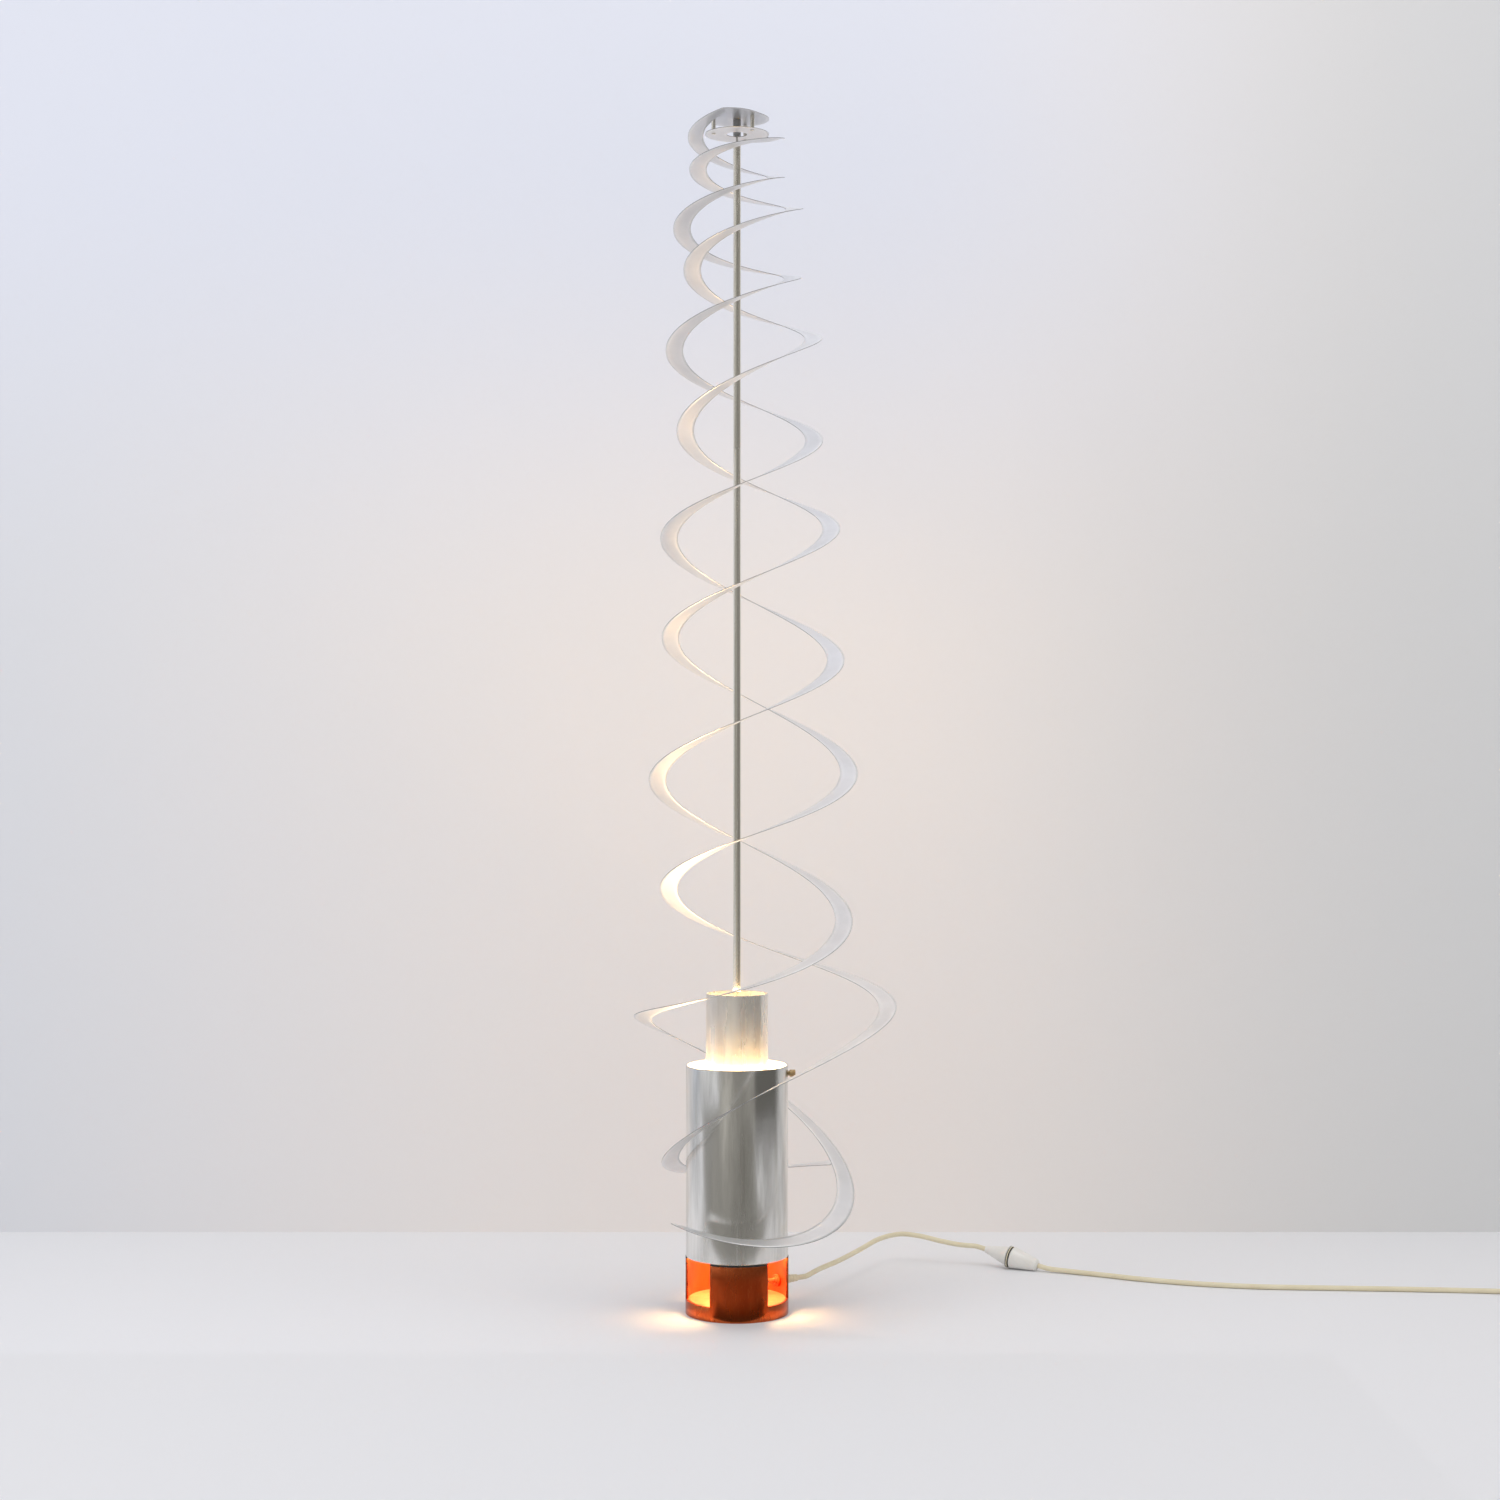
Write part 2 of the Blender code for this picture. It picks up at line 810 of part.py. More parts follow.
gland_face = base_radius + clearance
gland_tip = gland_face + gland_flange_thickness + gland_sleeve_length
gland_end = gland_face - gland_neck_length
gland = turned(
    "cord_gland",
    [
        (gland_tip_radius, gland_tip),
        (gland_sleeve_radius, gland_face + gland_flange_thickness),
        (gland_flange_radius, gland_face + gland_flange_thickness),
        (gland_flange_radius, gland_face),
        (gland_neck_radius, gland_face),
        (gland_neck_radius, gland_end),
        (cord_radius + clearance, gland_end),
        (cord_radius + clearance, gland_tip),
    ],
    black_plastic,
    closed=True,
)
gland.location = (0, 0, cord_height)
point_along(gland, around(cord_angle, 1))
nut_face = math.sqrt(base_inner_radius**2 - gland_nut_radius**2) - clearance
gland_nut = turned(
    "gland_nut",
    ring_profile(
        gland_nut_radius, gland_neck_radius + clearance, nut_face - gland_nut_height, nut_face, edge_bevel
    ),
    black_plastic,
    closed=True,
)
gland_nut.location = (0, 0, cord_height)
point_along(gland_nut, around(cord_angle, 1))

lead_start = around(cord_angle, gland_tip, cord_height)
lead_end = around(cord_angle, inner_lead_reach, cord_height)
tube("inner_lead", [lead_start, (lead_start + lead_end) / 2, lead_end], cord_radius, cream_vinyl)
core_spread = 1.3 * wire_radius
core_via_shares = ((0.48, 0.75, -0.98), (0.19, 0.84, 0.0))
core_twist_shares = ((0.34, 0.94), (-0.8, 0.6))
for name, way in (("supply_core_a", -1), ("supply_core_b", 1)):
    aside = Vector((math.cos(cord_angle), math.sin(cord_angle), 0)) * (way * core_spread)
    inwards = around(cord_angle, -1)
    start = lead_end + aside + inwards * clearance
    shift = -way * core_spread / lamp_circle_radius
    via_shares = [
        (across + shift * twist_across, out + shift * twist_out, up)
        for (across, out, up), (twist_across, twist_out) in zip(core_via_shares, core_twist_shares)
    ]
    route = wire_route((start, start + inwards * (6 * wire_radius)), via_shares, way * 0.09)
    tube(name, route, wire_radius, black_plastic, resolution=1)

# Main tube, chimney tube, and the spider that centres one in the other

main_tube = turned(
    "main_tube",
    ring_profile(main_tube_radius, main_tube_inner_radius, main_tube_bottom, main_tube_top, edge_bevel),
    aluminium,
    segments=tube_segments,
    closed=True,
)
screw_hole = cylinder(
    "screw_hole_cutter",
    screw_radius + 2 * clearance,
    main_tube_wall + 2 * overrun,
    (main_tube_radius - main_tube_wall / 2, 0, screw_height),
    (1, 0, 0),
)
combine(main_tube, screw_hole)
turned(
    "chimney_tube",
    ring_profile(chimney_radius, chimney_radius - chimney_wall, chimney_bottom, chimney_top),
    aluminium,
    segments=tube_segments,
    closed=True,
)

spider_ring_radius = chimney_radius + clearance + spider_ring_wall
spider_reach = main_tube_inner_radius * math.cos(math.pi / tube_segments) - clearance
spider = turned(
    "chimney_spider",
    ring_profile(
        spider_ring_radius,
        chimney_radius + clearance,
        screw_height - spider_height / 2,
        screw_height + spider_height / 2,
    ),
    steel,
    segments=tube_segments,
    closed=True,
)
boss_end = math.sqrt(spider_reach**2 - boss_radius**2)
arm_root = spider_ring_radius - spider_ring_wall / 2
for number in range(window_count):
    angle = right_angle + number * full_turn / window_count
    arm_end = boss_end - boss_length / 2 if number == 0 else spider_reach
    arm = box(
        f"spider_arm_{number + 1}",
        (spider_arm_thickness, arm_end - arm_root, spider_height - 2 * spider_arm_inset),
        around(angle, (arm_end + arm_root) / 2, screw_height),
        angle,
    )
    combine(spider, arm, "UNION")
boss_centre = (boss_end - boss_length / 2, 0, screw_height)
combine(spider, cylinder("spider_boss", boss_radius, boss_length, boss_centre, (1, 0, 0)), "UNION")
boss_bore = cylinder(
    "boss_bore_cutter", screw_radius + clearance, boss_length + overrun, boss_centre, (1, 0, 0)
)
combine(spider, boss_bore)

# Thumb screw: its own Z runs outwards along the screw

neck_start = main_tube_radius + clearance
knob_start = neck_start + screw_neck_length
thumb_screw = turned(
    "thumb_screw",
    [
        (0, knob_start + knob_length / 2),
        (screw_neck_radius, knob_start + knob_length / 2),
        (screw_neck_radius, neck_start),
        (screw_radius, neck_start),
        (screw_radius, boss_end - screw_reach),
        (0, boss_end - screw_reach),
    ],
    brass,
)
thumb_screw.location = (0, 0, screw_height)
thumb_screw.rotation_euler = (0, right_angle, 0)
knob_outline = []
for step in range(4 * knob_lobes):
    turn = full_turn * step / (4 * knob_lobes)
    reach = knob_radius * (1 - knob_lobe_share * (1 - math.cos(knob_lobes * turn)) / 2)
    knob_outline.append((reach * math.cos(turn), reach * math.sin(turn)))
knob = plate("thumb_screw_knob", [knob_outline], knob_length, knob_start)
knob.location = (knob_start + knob_length / 2, 0, screw_height)
knob.rotation_euler = (0, right_angle, 0)
combine(thumb_screw, as_mesh(knob), "UNION")

# Rotor

rotor = empty("rotor")
half_sheet = sheet_thickness / 2


def strip_point(spiral, share, inset):
    """A point of the hanging strip: a share of the way down, and a distance in from its outer edge."""
    angle = spiral["slit_angle"] - full_turn * spiral["turns"] * share
    outer = spiral["reach"] * spread(spiral["radius_shares"], share)
    radius = max(outer - inset, hub_radius + slit_width) if inset else outer
    flat = around(angle, radius)
    slope = spread(spiral["side_slope_shares"], share) * flat.x
    slope += spread(spiral["front_slope_shares"], share) * flat.y
    flat.z = spiral["height"] - spiral["drop"] * spread(spiral["drop_shares"], share) + slope
    flat.x += spiral["lean"] * spread(spiral["lean_shares"], share)
    return flat


def hanging_spiral(name, spiral, hole_radius):
    """A thin disc cut along a spiral: its hub stays flat, and the strip hangs down from one root."""
    bm = bmesh.new()
    start = spiral["slit_angle"]
    step = full_turn / rim_divisions
    height = spiral["height"]
    rim = [bm.verts.new(around(start + step * i, hub_radius, height)) for i in range(rim_divisions)]
    bm.faces.new(rim)
    root_radius = spiral["reach"] * spiral["radius_shares"][0]
    flare = [bm.verts.new(strip_point(spiral, 0, 0))]
    for i in range(1, root_divisions):
        share = (1 + math.cos(math.pi * i / root_divisions)) / 2
        radius = hub_radius + (root_radius - hub_radius) * share
        flare.append(bm.verts.new(around(start + step * i, radius, height)))
    for i in range(root_divisions - 1):
        bm.faces.new((rim[i], rim[i + 1], flare[i + 1], flare[i]))
    bm.faces.new((rim[root_divisions - 1], rim[root_divisions], flare[-1]))
    sections = round(spiral["turns"] * strip_steps_per_turn)
    inner, outer = rim[0], flare[0]
    for i in range(1, sections + 1):
        next_inner = bm.verts.new(strip_point(spiral, i / sections, strip_width))
        next_outer = bm.verts.new(strip_point(spiral, i / sections, 0))
        bm.faces.new((inner, outer, next_outer, next_inner))
        inner, outer = next_inner, next_outer
    made = mesh_piece(name, bm, thin_sheet, rotor)
    sheet = made.modifiers.new("sheet", "SOLIDIFY")
    sheet.thickness = sheet_thickness
    sheet.offset = 0
    depth = sheet_thickness + 2 * overrun
    centre = Vector((0, 0, height))
    hub_hole = cylinder(f"{name}_hub_cutter", hole_radius, depth, centre, segments=rod_segments)
    combine(made, hub_hole)
    for number in range(post_count):
        spot = around(post_angle + number * full_turn / post_count, post_circle_radius)
        post_hole = cylinder(
            f"{name}_post_cutter_{number + 1}",
            post_pin_radius + clearance,
            depth,
            centre + spot,
            segments=fine_segments,
        )
        combine(made, post_hole)
    return made


upper_spiral = {
    "slit_angle": upper_slit_angle,
    "turns": upper_turns,
    "height": upper_hub_height,
    "reach": upper_reach,
    "radius_shares": upper_radius_shares,
    "drop": upper_hub_height - upper_end_height,
    "drop_shares": upper_drop_shares,
    "lean": upper_lean,
    "lean_shares": upper_lean_shares,
    "side_slope_shares": upper_side_slope_shares,
    "front_slope_shares": upper_front_slope_shares,
}
lower_spiral = {
    "slit_angle": lower_slit_angle,
    "turns": lower_turns,
    "height": lower_hub_height,
    "reach": lower_reach,
    "radius_shares": lower_radius_shares,
    "drop": lower_hub_height - lower_end_height,
    "drop_shares": lower_drop_shares,
    "lean": lower_lean,
    "lean_shares": lower_lean_shares,
    "side_slope_shares": lower_side_slope_shares,
    "front_slope_shares": lower_front_slope_shares,
}
hanging_spiral("spiral_upper", upper_spiral, bush_pin_radius + clearance)
hanging_spiral("spiral_lower", lower_spiral, lower_hub_hole_radius)

upper_top = upper_hub_height + half_sheet + clearance
upper_under = upper_hub_height - half_sheet - clearance
lower_top = lower_hub_height + half_sheet + clearance
lower_under = lower_hub_height - half_sheet - clearance
for number in range(post_count):
    post = turned(
        f"hub_post_{number + 1}",
        [
            (0, upper_top + post_head_height),
            (post_radius, upper_top + post_head_height),
            (post_radius, upper_top),
            (post_pin_radius, upper_top),
            (post_pin_radius, upper_under),
            (post_radius, upper_under),
            (post_radius, lower_top),
            (post_pin_radius, lower_top),
            (post_pin_radius, lower_under),
            (post_radius, lower_under),
            (post_radius, lower_under - post_head_height),
            (0, lower_under - post_head_height),
        ],
        steel,
        rotor,
        segments=fine_segments,
    )
    post.location = around(post_angle + number * full_turn / post_count, post_circle_radius)

cup_top = upper_under - bush_roof
needle_tip = cup_top - clearance
turned(
    "bearing_bush",
    [
        (0, upper_top + bush_head_height),
        (bush_head_radius / 2, upper_top + bush_head_height),
        (bush_head_radius, upper_top + bush_head_height / 2),
        (bush_head_radius, upper_top),
        (bush_pin_radius, upper_top),
        (bush_pin_radius, upper_under),
        (bush_radius, upper_under),
        (bush_radius, bush_bottom),
        (bush_bore_radius, bush_bottom),
        (bush_bore_radius, cup_top - bush_cup),
        (0, cup_top),
    ],
    black_plastic,
    rotor,
    segments=rod_segments,
)
turned(
    "needle",
    [
        (0, needle_tip),
        (needle_radius, needle_tip - needle_point),
        (needle_radius, rod_top_height - needle_sink + clearance),
        (0, rod_top_height - needle_sink + clearance),
    ],
    steel,
    segments=fine_segments,
)

# In-line connector

cone_length = connector_half_length - connector_gap / 2 - socket_barrel_length - socket_round_length
tilt = math.atan((connector_radius - socket_end_radius) / cone_length)
along = Vector(
    (
        math.cos(tilt) * math.cos(connector_turn),
        math.cos(tilt) * math.sin(connector_turn),
        -math.sin(tilt),
    )
)
cone_start = connector_gap / 2 + socket_barrel_length
middle_height = connector_radius * math.cos(tilt) + cone_start * math.sin(tilt) + cord_rest
connector = empty("inline_connector", (*connector_place, middle_height))
point_along(connector, -along)
inline_plug = turned(
    "inline_plug",
    [
        (0, connector_half_length),
        (plug_tip_radius, connector_half_length),
        (plug_cone_radius, connector_gap / 2 + plug_flange_length),
        (connector_radius, connector_gap / 2 + plug_flange_length),
        (connector_radius, connector_gap / 2),
        (0, connector_gap / 2),
    ],
    white_plastic,
    connector,
    segments=rod_segments,
)
inline_socket = turned(
    "inline_socket",
    [
        (0, -connector_gap / 2),
        (connector_radius, -connector_gap / 2),
        (connector_radius, -cone_start),
        (socket_end_radius, socket_round_length - connector_half_length),
        (socket_tip_radius, -connector_half_length),
        (0, -connector_half_length),
    ],
    white_plastic,
    connector,
    segments=rod_segments,
)
for number, way in ((1, -1), (2, 1)):
    place_aside = (way * inline_pin_spacing / 2, 0, (inline_pin_sink - inline_pin_reach) / 2)
    cylinder(
        f"inline_pin_{number}",
        inline_pin_radius,
        inline_pin_sink + inline_pin_reach - 2 * clearance,
        place_aside,
        material=steel,
        parent=connector,
        segments=fine_segments,
    )
    pin_bore = cylinder(
        f"inline_pin_cutter_{number}",
        inline_pin_radius + clearance,
        inline_pin_sink + inline_pin_reach,
        place_aside,
        parent=connector,
        segments=fine_segments,
    )
    combine(inline_plug, pin_bore)
    combine(inline_socket, pin_bore)

# Flex from the gland to the connector, and on along the surface to the coil

connector_middle = Vector((*connector_place, middle_height))
straight = 4 * cord_radius
gland_out = around(cord_angle, 1)
flex_start = lead_start + gland_out * clearance
flex_end = connector_middle - along * (connector_half_length + clearance)
lamp_flex_points = [flex_start, flex_start + gland_out * straight]
lamp_flex_points += [Vector(point) for point in lamp_flex_route]
lamp_flex_points += [flex_end - along * straight, flex_end]
tube("lamp_flex", smooth_path(lamp_flex_points, point_spacing), cord_radius, cream_vinyl)

coil_middle = Vector((*coil_place, cord_radius + cord_rest + tie_thickness + tie_gap))
coil_climb_start = (coil_turns - coil_climb_turns) / 2


def coil_point(turns):
    """A point of the coil: in along the lower layer, up in the half turn where it reverses, and out."""
    angle = full_turn * turns
    radius = coil_radius - coil_pitch * min(turns, coil_turns - turns)
    climb = min(max((turns - coil_climb_start) / coil_climb_turns, 0), 1)
    height = coil_layer_pitch * climb * climb * (3 - 2 * climb)
    return coil_middle + around(angle, radius, height)


coil_steps = round(coil_turns * coil_points_per_turn)
coil_points = [coil_point(coil_turns * i / coil_steps) for i in range(coil_steps + 1)]
coil_entry = Vector((1, 0, 0))
coil_exit = around(full_turn * coil_turns + right_angle, 1)
coil_points.insert(0, coil_points[0] - coil_entry * 2 * cord_radius)
coil_points.append(coil_points[-1] + coil_exit * 2 * cord_radius)
tube("cord_coil", coil_points, cord_radius, cream_vinyl, resolution=1)
least_gap = min(
    (a - b).length - 2 * cord_radius
    for i, a in enumerate(coil_points)
    for b in coil_points[i + coil_points_per_turn // 2 :]
)
print("cord_coil least gap to itself", round(least_gap, 5))

supply_start = connector_middle + along * (connector_half_length + clearance)
supply_end = coil_points[0] - coil_entry * clearance
supply_points = [supply_start, supply_start + along * straight]
supply_points += [Vector(point) for point in supply_flex_route]
supply_points += [supply_end - coil_entry * straight, supply_end]
tube("supply_flex", smooth_path(supply_points, point_spacing), cord_radius, cream_vinyl)

# Tie round the coil's bundle, opposite the coil's exit

tie_turn = 0.75
tie_angle = full_turn * tie_turn
lower_radius = coil_radius - coil_pitch * (tie_turn + 1)
upper_radius = coil_radius - coil_pitch * (coil_turns - tie_turn - 3)
tie_inside = upper_radius - lower_radius + 2 * (cord_radius + tie_gap)
tie_height = coil_layer_pitch + 2 * (cord_radius + tie_gap)


def rounded_rectangle(width, height, corner):
    made = []
    for quarter, (x, y) in enumerate(((1, 1), (-1, 1), (-1, -1), (1, -1))):
        for dx, dy in arc(corner, quarter * right_angle, (quarter + 1) * right_angle, 4):
            made.append((x * (width / 2 - corner) + dx, y * (height / 2 - corner) + dy))
    return made


tie = plate(
    "coil_tie",
    [
        rounded_rectangle(tie_inside + 2 * tie_thickness, tie_height + 2 * tie_thickness, tie_corner),
        rounded_rectangle(tie_inside, tie_height, tie_corner - tie_thickness),
    ],
    tie_width,
    0,
    black_plastic,
)
tie.location = coil_middle + around(tie_angle, (upper_radius + lower_radius) / 2, coil_layer_pitch / 2)
tie.rotation_euler = (right_angle, 0, tie_angle + right_angle)

# Mains plug, flat, with two round pins, at the end of a short lead off the coil

plug_base = mains_plug_thickness / 2 + cord_rest
plug_back = coil_points[-1] + coil_exit * (plug_lead_length + 2 * clearance)
plug_back.z = plug_base
lead_from = coil_points[-1] + coil_exit * clearance
lead_to = plug_back - coil_exit * clearance
plug_lead_points = [lead_from, lead_from + coil_exit * straight, lead_to - coil_exit * straight, lead_to]
tube("plug_lead", smooth_path(plug_lead_points, point_spacing / 2), cord_radius, cream_vinyl)

half_width = mains_plug_width / 2
shoulder = plug_shoulder_share * mains_plug_length
plug_outline = [
    (mains_plug_neck / 2, 0),
    (half_width, shoulder),
    (half_width, mains_plug_length),
    (-half_width, mains_plug_length),
    (-half_width, shoulder),
    (-mains_plug_neck / 2, 0),
]
plug_body = plate("mains_plug", [plug_outline], mains_plug_thickness, 0, white_plastic)
plug_body.location = plug_back
plug_body.rotation_euler = (0, 0, full_turn * coil_turns - right_angle)
plug_body = as_mesh(plug_body)
round_edges(plug_body, mains_plug_bevel)
plug_across = around(full_turn * coil_turns, 1)
for number, way in ((1, -1), (2, 1)):
    pin_centre = plug_back + coil_exit * (mains_plug_length + (mains_pin_length - mains_pin_sink) / 2)
    pin_centre += plug_across * (way * mains_pin_spacing / 2)
    cylinder(
        f"mains_pin_{number}",
        mains_pin_radius,
        mains_pin_length + mains_pin_sink - 2 * clearance,
        pin_centre,
        coil_exit,
        segments=fine_segments,
        material=steel,
    )
    pin_bore = cylinder(
        f"mains_pin_cutter_{number}",
        mains_pin_radius + clearance,
        mains_pin_length + mains_pin_sink,
        pin_centre,
        coil_exit,
        segments=fine_segments,
    )
    combine(plug_body, pin_bore)
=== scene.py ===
import json
import math

import bmesh
import bpy
import numpy as np
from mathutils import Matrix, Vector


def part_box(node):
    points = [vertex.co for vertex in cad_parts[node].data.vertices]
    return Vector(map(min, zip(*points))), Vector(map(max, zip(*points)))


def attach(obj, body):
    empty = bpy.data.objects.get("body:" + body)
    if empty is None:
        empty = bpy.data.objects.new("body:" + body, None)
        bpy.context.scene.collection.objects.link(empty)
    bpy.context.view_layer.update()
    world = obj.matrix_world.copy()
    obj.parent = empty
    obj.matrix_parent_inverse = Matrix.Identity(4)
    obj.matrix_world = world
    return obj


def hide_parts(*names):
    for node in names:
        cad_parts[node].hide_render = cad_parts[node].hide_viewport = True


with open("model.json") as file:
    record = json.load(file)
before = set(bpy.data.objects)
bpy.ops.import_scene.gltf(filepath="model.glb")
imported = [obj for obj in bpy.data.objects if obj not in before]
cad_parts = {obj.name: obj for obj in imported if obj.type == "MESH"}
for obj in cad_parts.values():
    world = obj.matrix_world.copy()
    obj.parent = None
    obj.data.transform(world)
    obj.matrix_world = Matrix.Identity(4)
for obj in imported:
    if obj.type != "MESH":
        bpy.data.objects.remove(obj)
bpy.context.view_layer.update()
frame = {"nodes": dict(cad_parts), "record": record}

nodes = frame["nodes"]
fullTurn = 2 * math.pi
upward = (0, 0, 1)
rightward = (1, 0, 0)

# camera: level, a little right of the rod

view = {"lens": 60, "sensor": 36, "place": (0.0153, -2.940, 0.661), "tilt": math.radians(90)}
lens = bpy.data.cameras.new("camera")
lens.lens = view["lens"]
lens.sensor_width = view["sensor"]
camera = bpy.data.objects.new("camera", lens)
camera.location = view["place"]
camera.rotation_euler = (view["tilt"], 0, 0)
bpy.context.scene.collection.objects.link(camera)
bpy.context.scene.camera = camera
print("camera set")

# tools for surfaces


def around(angle, radius, height):
    # a point at an angle from the front, growing to the right: (r sin a, -r cos a, z)
    angle, radius, height = np.broadcast_arrays(angle, radius, height)
    return np.stack([radius * np.sin(angle), -radius * np.cos(angle), height], axis=-1)


def gridFaces(rows, columns, wrapRows=False, wrapColumns=False):
    # every cell between four neighbouring grid points is one face
    row = np.arange(rows if wrapRows else rows - 1)[:, None]
    column = np.arange(columns if wrapColumns else columns - 1)[None, :]
    nextRow, nextColumn = (row + 1) % rows, (column + 1) % columns
    corners = (row * columns + column, row * columns + nextColumn)
    corners += (nextRow * columns + nextColumn, nextRow * columns + column)
    return np.stack(corners, axis=-1).reshape(-1, 4)


mergeDistance = 1e-6


def surface(name, patches, material, body, sharpAngle=32):
    # joins patches of (points, faces), merges what meets, turns the faces outwards and shades them
    points, faces, start = [], [], 0
    for patchPoints, patchFaces in patches:
        flat = np.asarray(patchPoints, float).reshape(-1, 3)
        points.append(flat)
        faces.append(patchFaces + start)
        start += len(flat)
    mesh = bpy.data.meshes.new(name)
    mesh.from_pydata(np.concatenate(points).tolist(), [], np.concatenate(faces).tolist())
    bm = bmesh.new()
    bm.from_mesh(mesh)
    bmesh.ops.remove_doubles(bm, verts=bm.verts, dist=mergeDistance)
    bmesh.ops.recalc_face_normals(bm, faces=bm.faces)
    bm.to_mesh(mesh)
    bm.free()
    mesh.shade_smooth()
    mesh.set_sharp_from_angle(angle=math.radians(sharpAngle))
    mesh.materials.append(material)
    piece = bpy.data.objects.new(name, mesh)
    bpy.context.scene.collection.objects.link(piece)
    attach(piece, body)
    return piece


def softCorners(outline, reach, closed, steps=4):
    # every corner becomes a short curve: (1-t)^2 start + 2t(1-t) corner + t^2 end
    outline = np.asarray(outline, float)
    before = np.roll(outline, 1, axis=0) - outline
    after = np.roll(outline, -1, axis=0) - outline
    beforeLength = np.linalg.norm(before, axis=1, keepdims=True)
    afterLength = np.linalg.norm(after, axis=1, keepdims=True)
    start = outline + before * np.minimum(reach / beforeLength, 0.4)
    end = outline + after * np.minimum(reach / afterLength, 0.4)
    t = np.linspace(0, 1, steps)[None, :, None]
    curve = (1 - t) ** 2 * start[:, None] + 2 * t * (1 - t) * outline[:, None] + t**2 * end[:, None]
    curve = curve.reshape(-1, 2)
    return curve if closed else np.concatenate([outline[:1], curve[steps:-steps], outline[-1:]])


def frameOf(axis):
    # two directions across an axis
    axis = np.asarray(axis, float) / np.linalg.norm(axis)
    aside = np.cross(upward if abs(axis[2]) < 0.9 else rightward, axis)
    aside /= np.linalg.norm(aside)
    return axis, aside, np.cross(axis, aside)


def turnedPatch(outline, closed=False, reach=0.0003, segments=64, place=(0, 0, 0), axis=upward, lobes=None):
    # an outline of (radius, height) carried round an axis: place + r(u cos t + v sin t) + h axis
    outline = softCorners(outline, reach, closed)
    axis, aside, across = frameOf(axis)
    turn = np.linspace(0, fullTurn, segments, endpoint=False)
    radius = outline[:, :1] * np.ones(segments)
    if lobes:  # the outline's radius rises and falls round the knob
        count, share, start = lobes
        ridges = 1 - share * (1 - np.cos(count * turn)) / 2
        radius = np.where(outline[:, 1:] > start, radius * ridges, radius)
    circle = np.cos(turn)[:, None] * aside + np.sin(turn)[:, None] * across
    points = np.asarray(place) + radius[..., None] * circle + outline[:, 1:, None] * axis
    return points, gridFaces(len(outline), segments, closed, True)


def smoothPath(points, spacing):
    # the cubic through four neighbours, evenly respaced, with straight first and last stretches
    points = np.asarray(points, float)
    t = np.arange(0, 1, 1 / 16)[None, :, None]
    a, b, c, d = (points[k : len(points) - 3 + k][:, None] for k in range(4))
    cubic = b + 0.5 * t * (c - a + t * (2 * a - 5 * b + 4 * c - d + t * (3 * (b - c) + d - a)))
    fine = np.concatenate([points[:1], cubic.reshape(-1, 3), points[-2:]])
    return respaced(fine, spacing)


def respaced(points, spacing):
    # points at even lengths along a path
    steps = np.linalg.norm(np.diff(points, axis=0), axis=1)
    reached = np.concatenate([[0], np.cumsum(steps)])
    wanted = np.linspace(0, reached[-1], max(8, round(reached[-1] / spacing)))
    return np.stack([np.interp(wanted, reached, points[:, k]) for k in range(3)], axis=1)


def sweptPatch(path, radius, segments=20):
    # a circle carried along a path, held upright by the direction the path turns least towards
    path = np.asarray(path, float)
    ahead = np.gradient(path, axis=0)
    ahead /= np.linalg.norm(ahead, axis=1, keepdims=True)
    still = np.linalg.eigh(ahead.T @ ahead)[1][:, 0]
    aside = np.cross(ahead, still)
    aside /= np.linalg.norm(aside, axis=1, keepdims=True)
    over = np.cross(aside, ahead)
    turn = np.linspace(0, fullTurn, segments, endpoint=False)[None, :, None]
    ring = radius * (np.cos(turn) * aside[:, None] + np.sin(turn) * over[:, None])
    tip = np.array([0, 0.75, 1])[:, None, None]  # rounded ends
    first = path[0] + tip * ring[0] + (tip - 1) * ahead[0] * radius * 0.25
    last = path[-1] + tip[::-1] * ring[-1] - (tip[::-1] - 1) * ahead[-1] * radius * 0.25
    points = np.concatenate([first, path[1:-1, None] + ring[1:-1], last])
    return points, gridFaces(len(points), segments, False, True)


def pathLength(path):
    return float(np.linalg.norm(np.diff(path, axis=0), axis=1).sum())


# shader groups


def feed(tree, node, values):
    # a value is either a number or another node's output
    for key, value in values.items():
        if isinstance(value, bpy.types.NodeSocket):
            tree.links.new(value, node.inputs[key])
        else:
            node.inputs[key].default_value = value
    return node


def put(tree, kind, values=None, **settings):
    # one node with its settings and values
    node = tree.nodes.new(kind)
    for key, value in settings.items():
        setattr(node, key, value)
    return feed(tree, node, values or {})


def calculated(tree, operation, *values, **settings):
    return put(tree, "ShaderNodeMath", dict(enumerate(values)), operation=operation, **settings).outputs[0]


def ranged(tree, value, low, high, start=0.0, end=1.0, **settings):
    # a value between low and high, carried to between start and end
    values = {"Value": value, "From Min": low, "From Max": high, "To Min": start, "To Max": end}
    return put(tree, "ShaderNodeMapRange", values, **settings).outputs[0]


def noise(tree, place, scale, detail, roughness=0.5):
    values = {"Vector": place, "Scale": scale, "Detail": detail, "Roughness": roughness}
    return put(tree, "ShaderNodeTexNoise", values).outputs["Fac"]


def stretched(tree, given):
    values = {0: given["Place"], 1: given["Stretch"]}
    return put(tree, "ShaderNodeVectorMath", values, operation="MULTIPLY").outputs[0]


def groupOf(name, inputs, outputs):
    tree = bpy.data.node_groups.new(name, "ShaderNodeTree")
    for label, value in inputs.items():
        kind = "NodeSocketVector" if value is None or isinstance(value, tuple) else "NodeSocketFloat"
        socket = tree.interface.new_socket(label, in_out="INPUT", socket_type=kind)
        if value is not None:
            socket.default_value = value
    for label in outputs:
        tree.interface.new_socket(label, in_out="OUTPUT", socket_type="NodeSocketFloat")
    return tree, tree.nodes.new("NodeGroupInput").outputs, tree.nodes.new("NodeGroupOutput").inputs


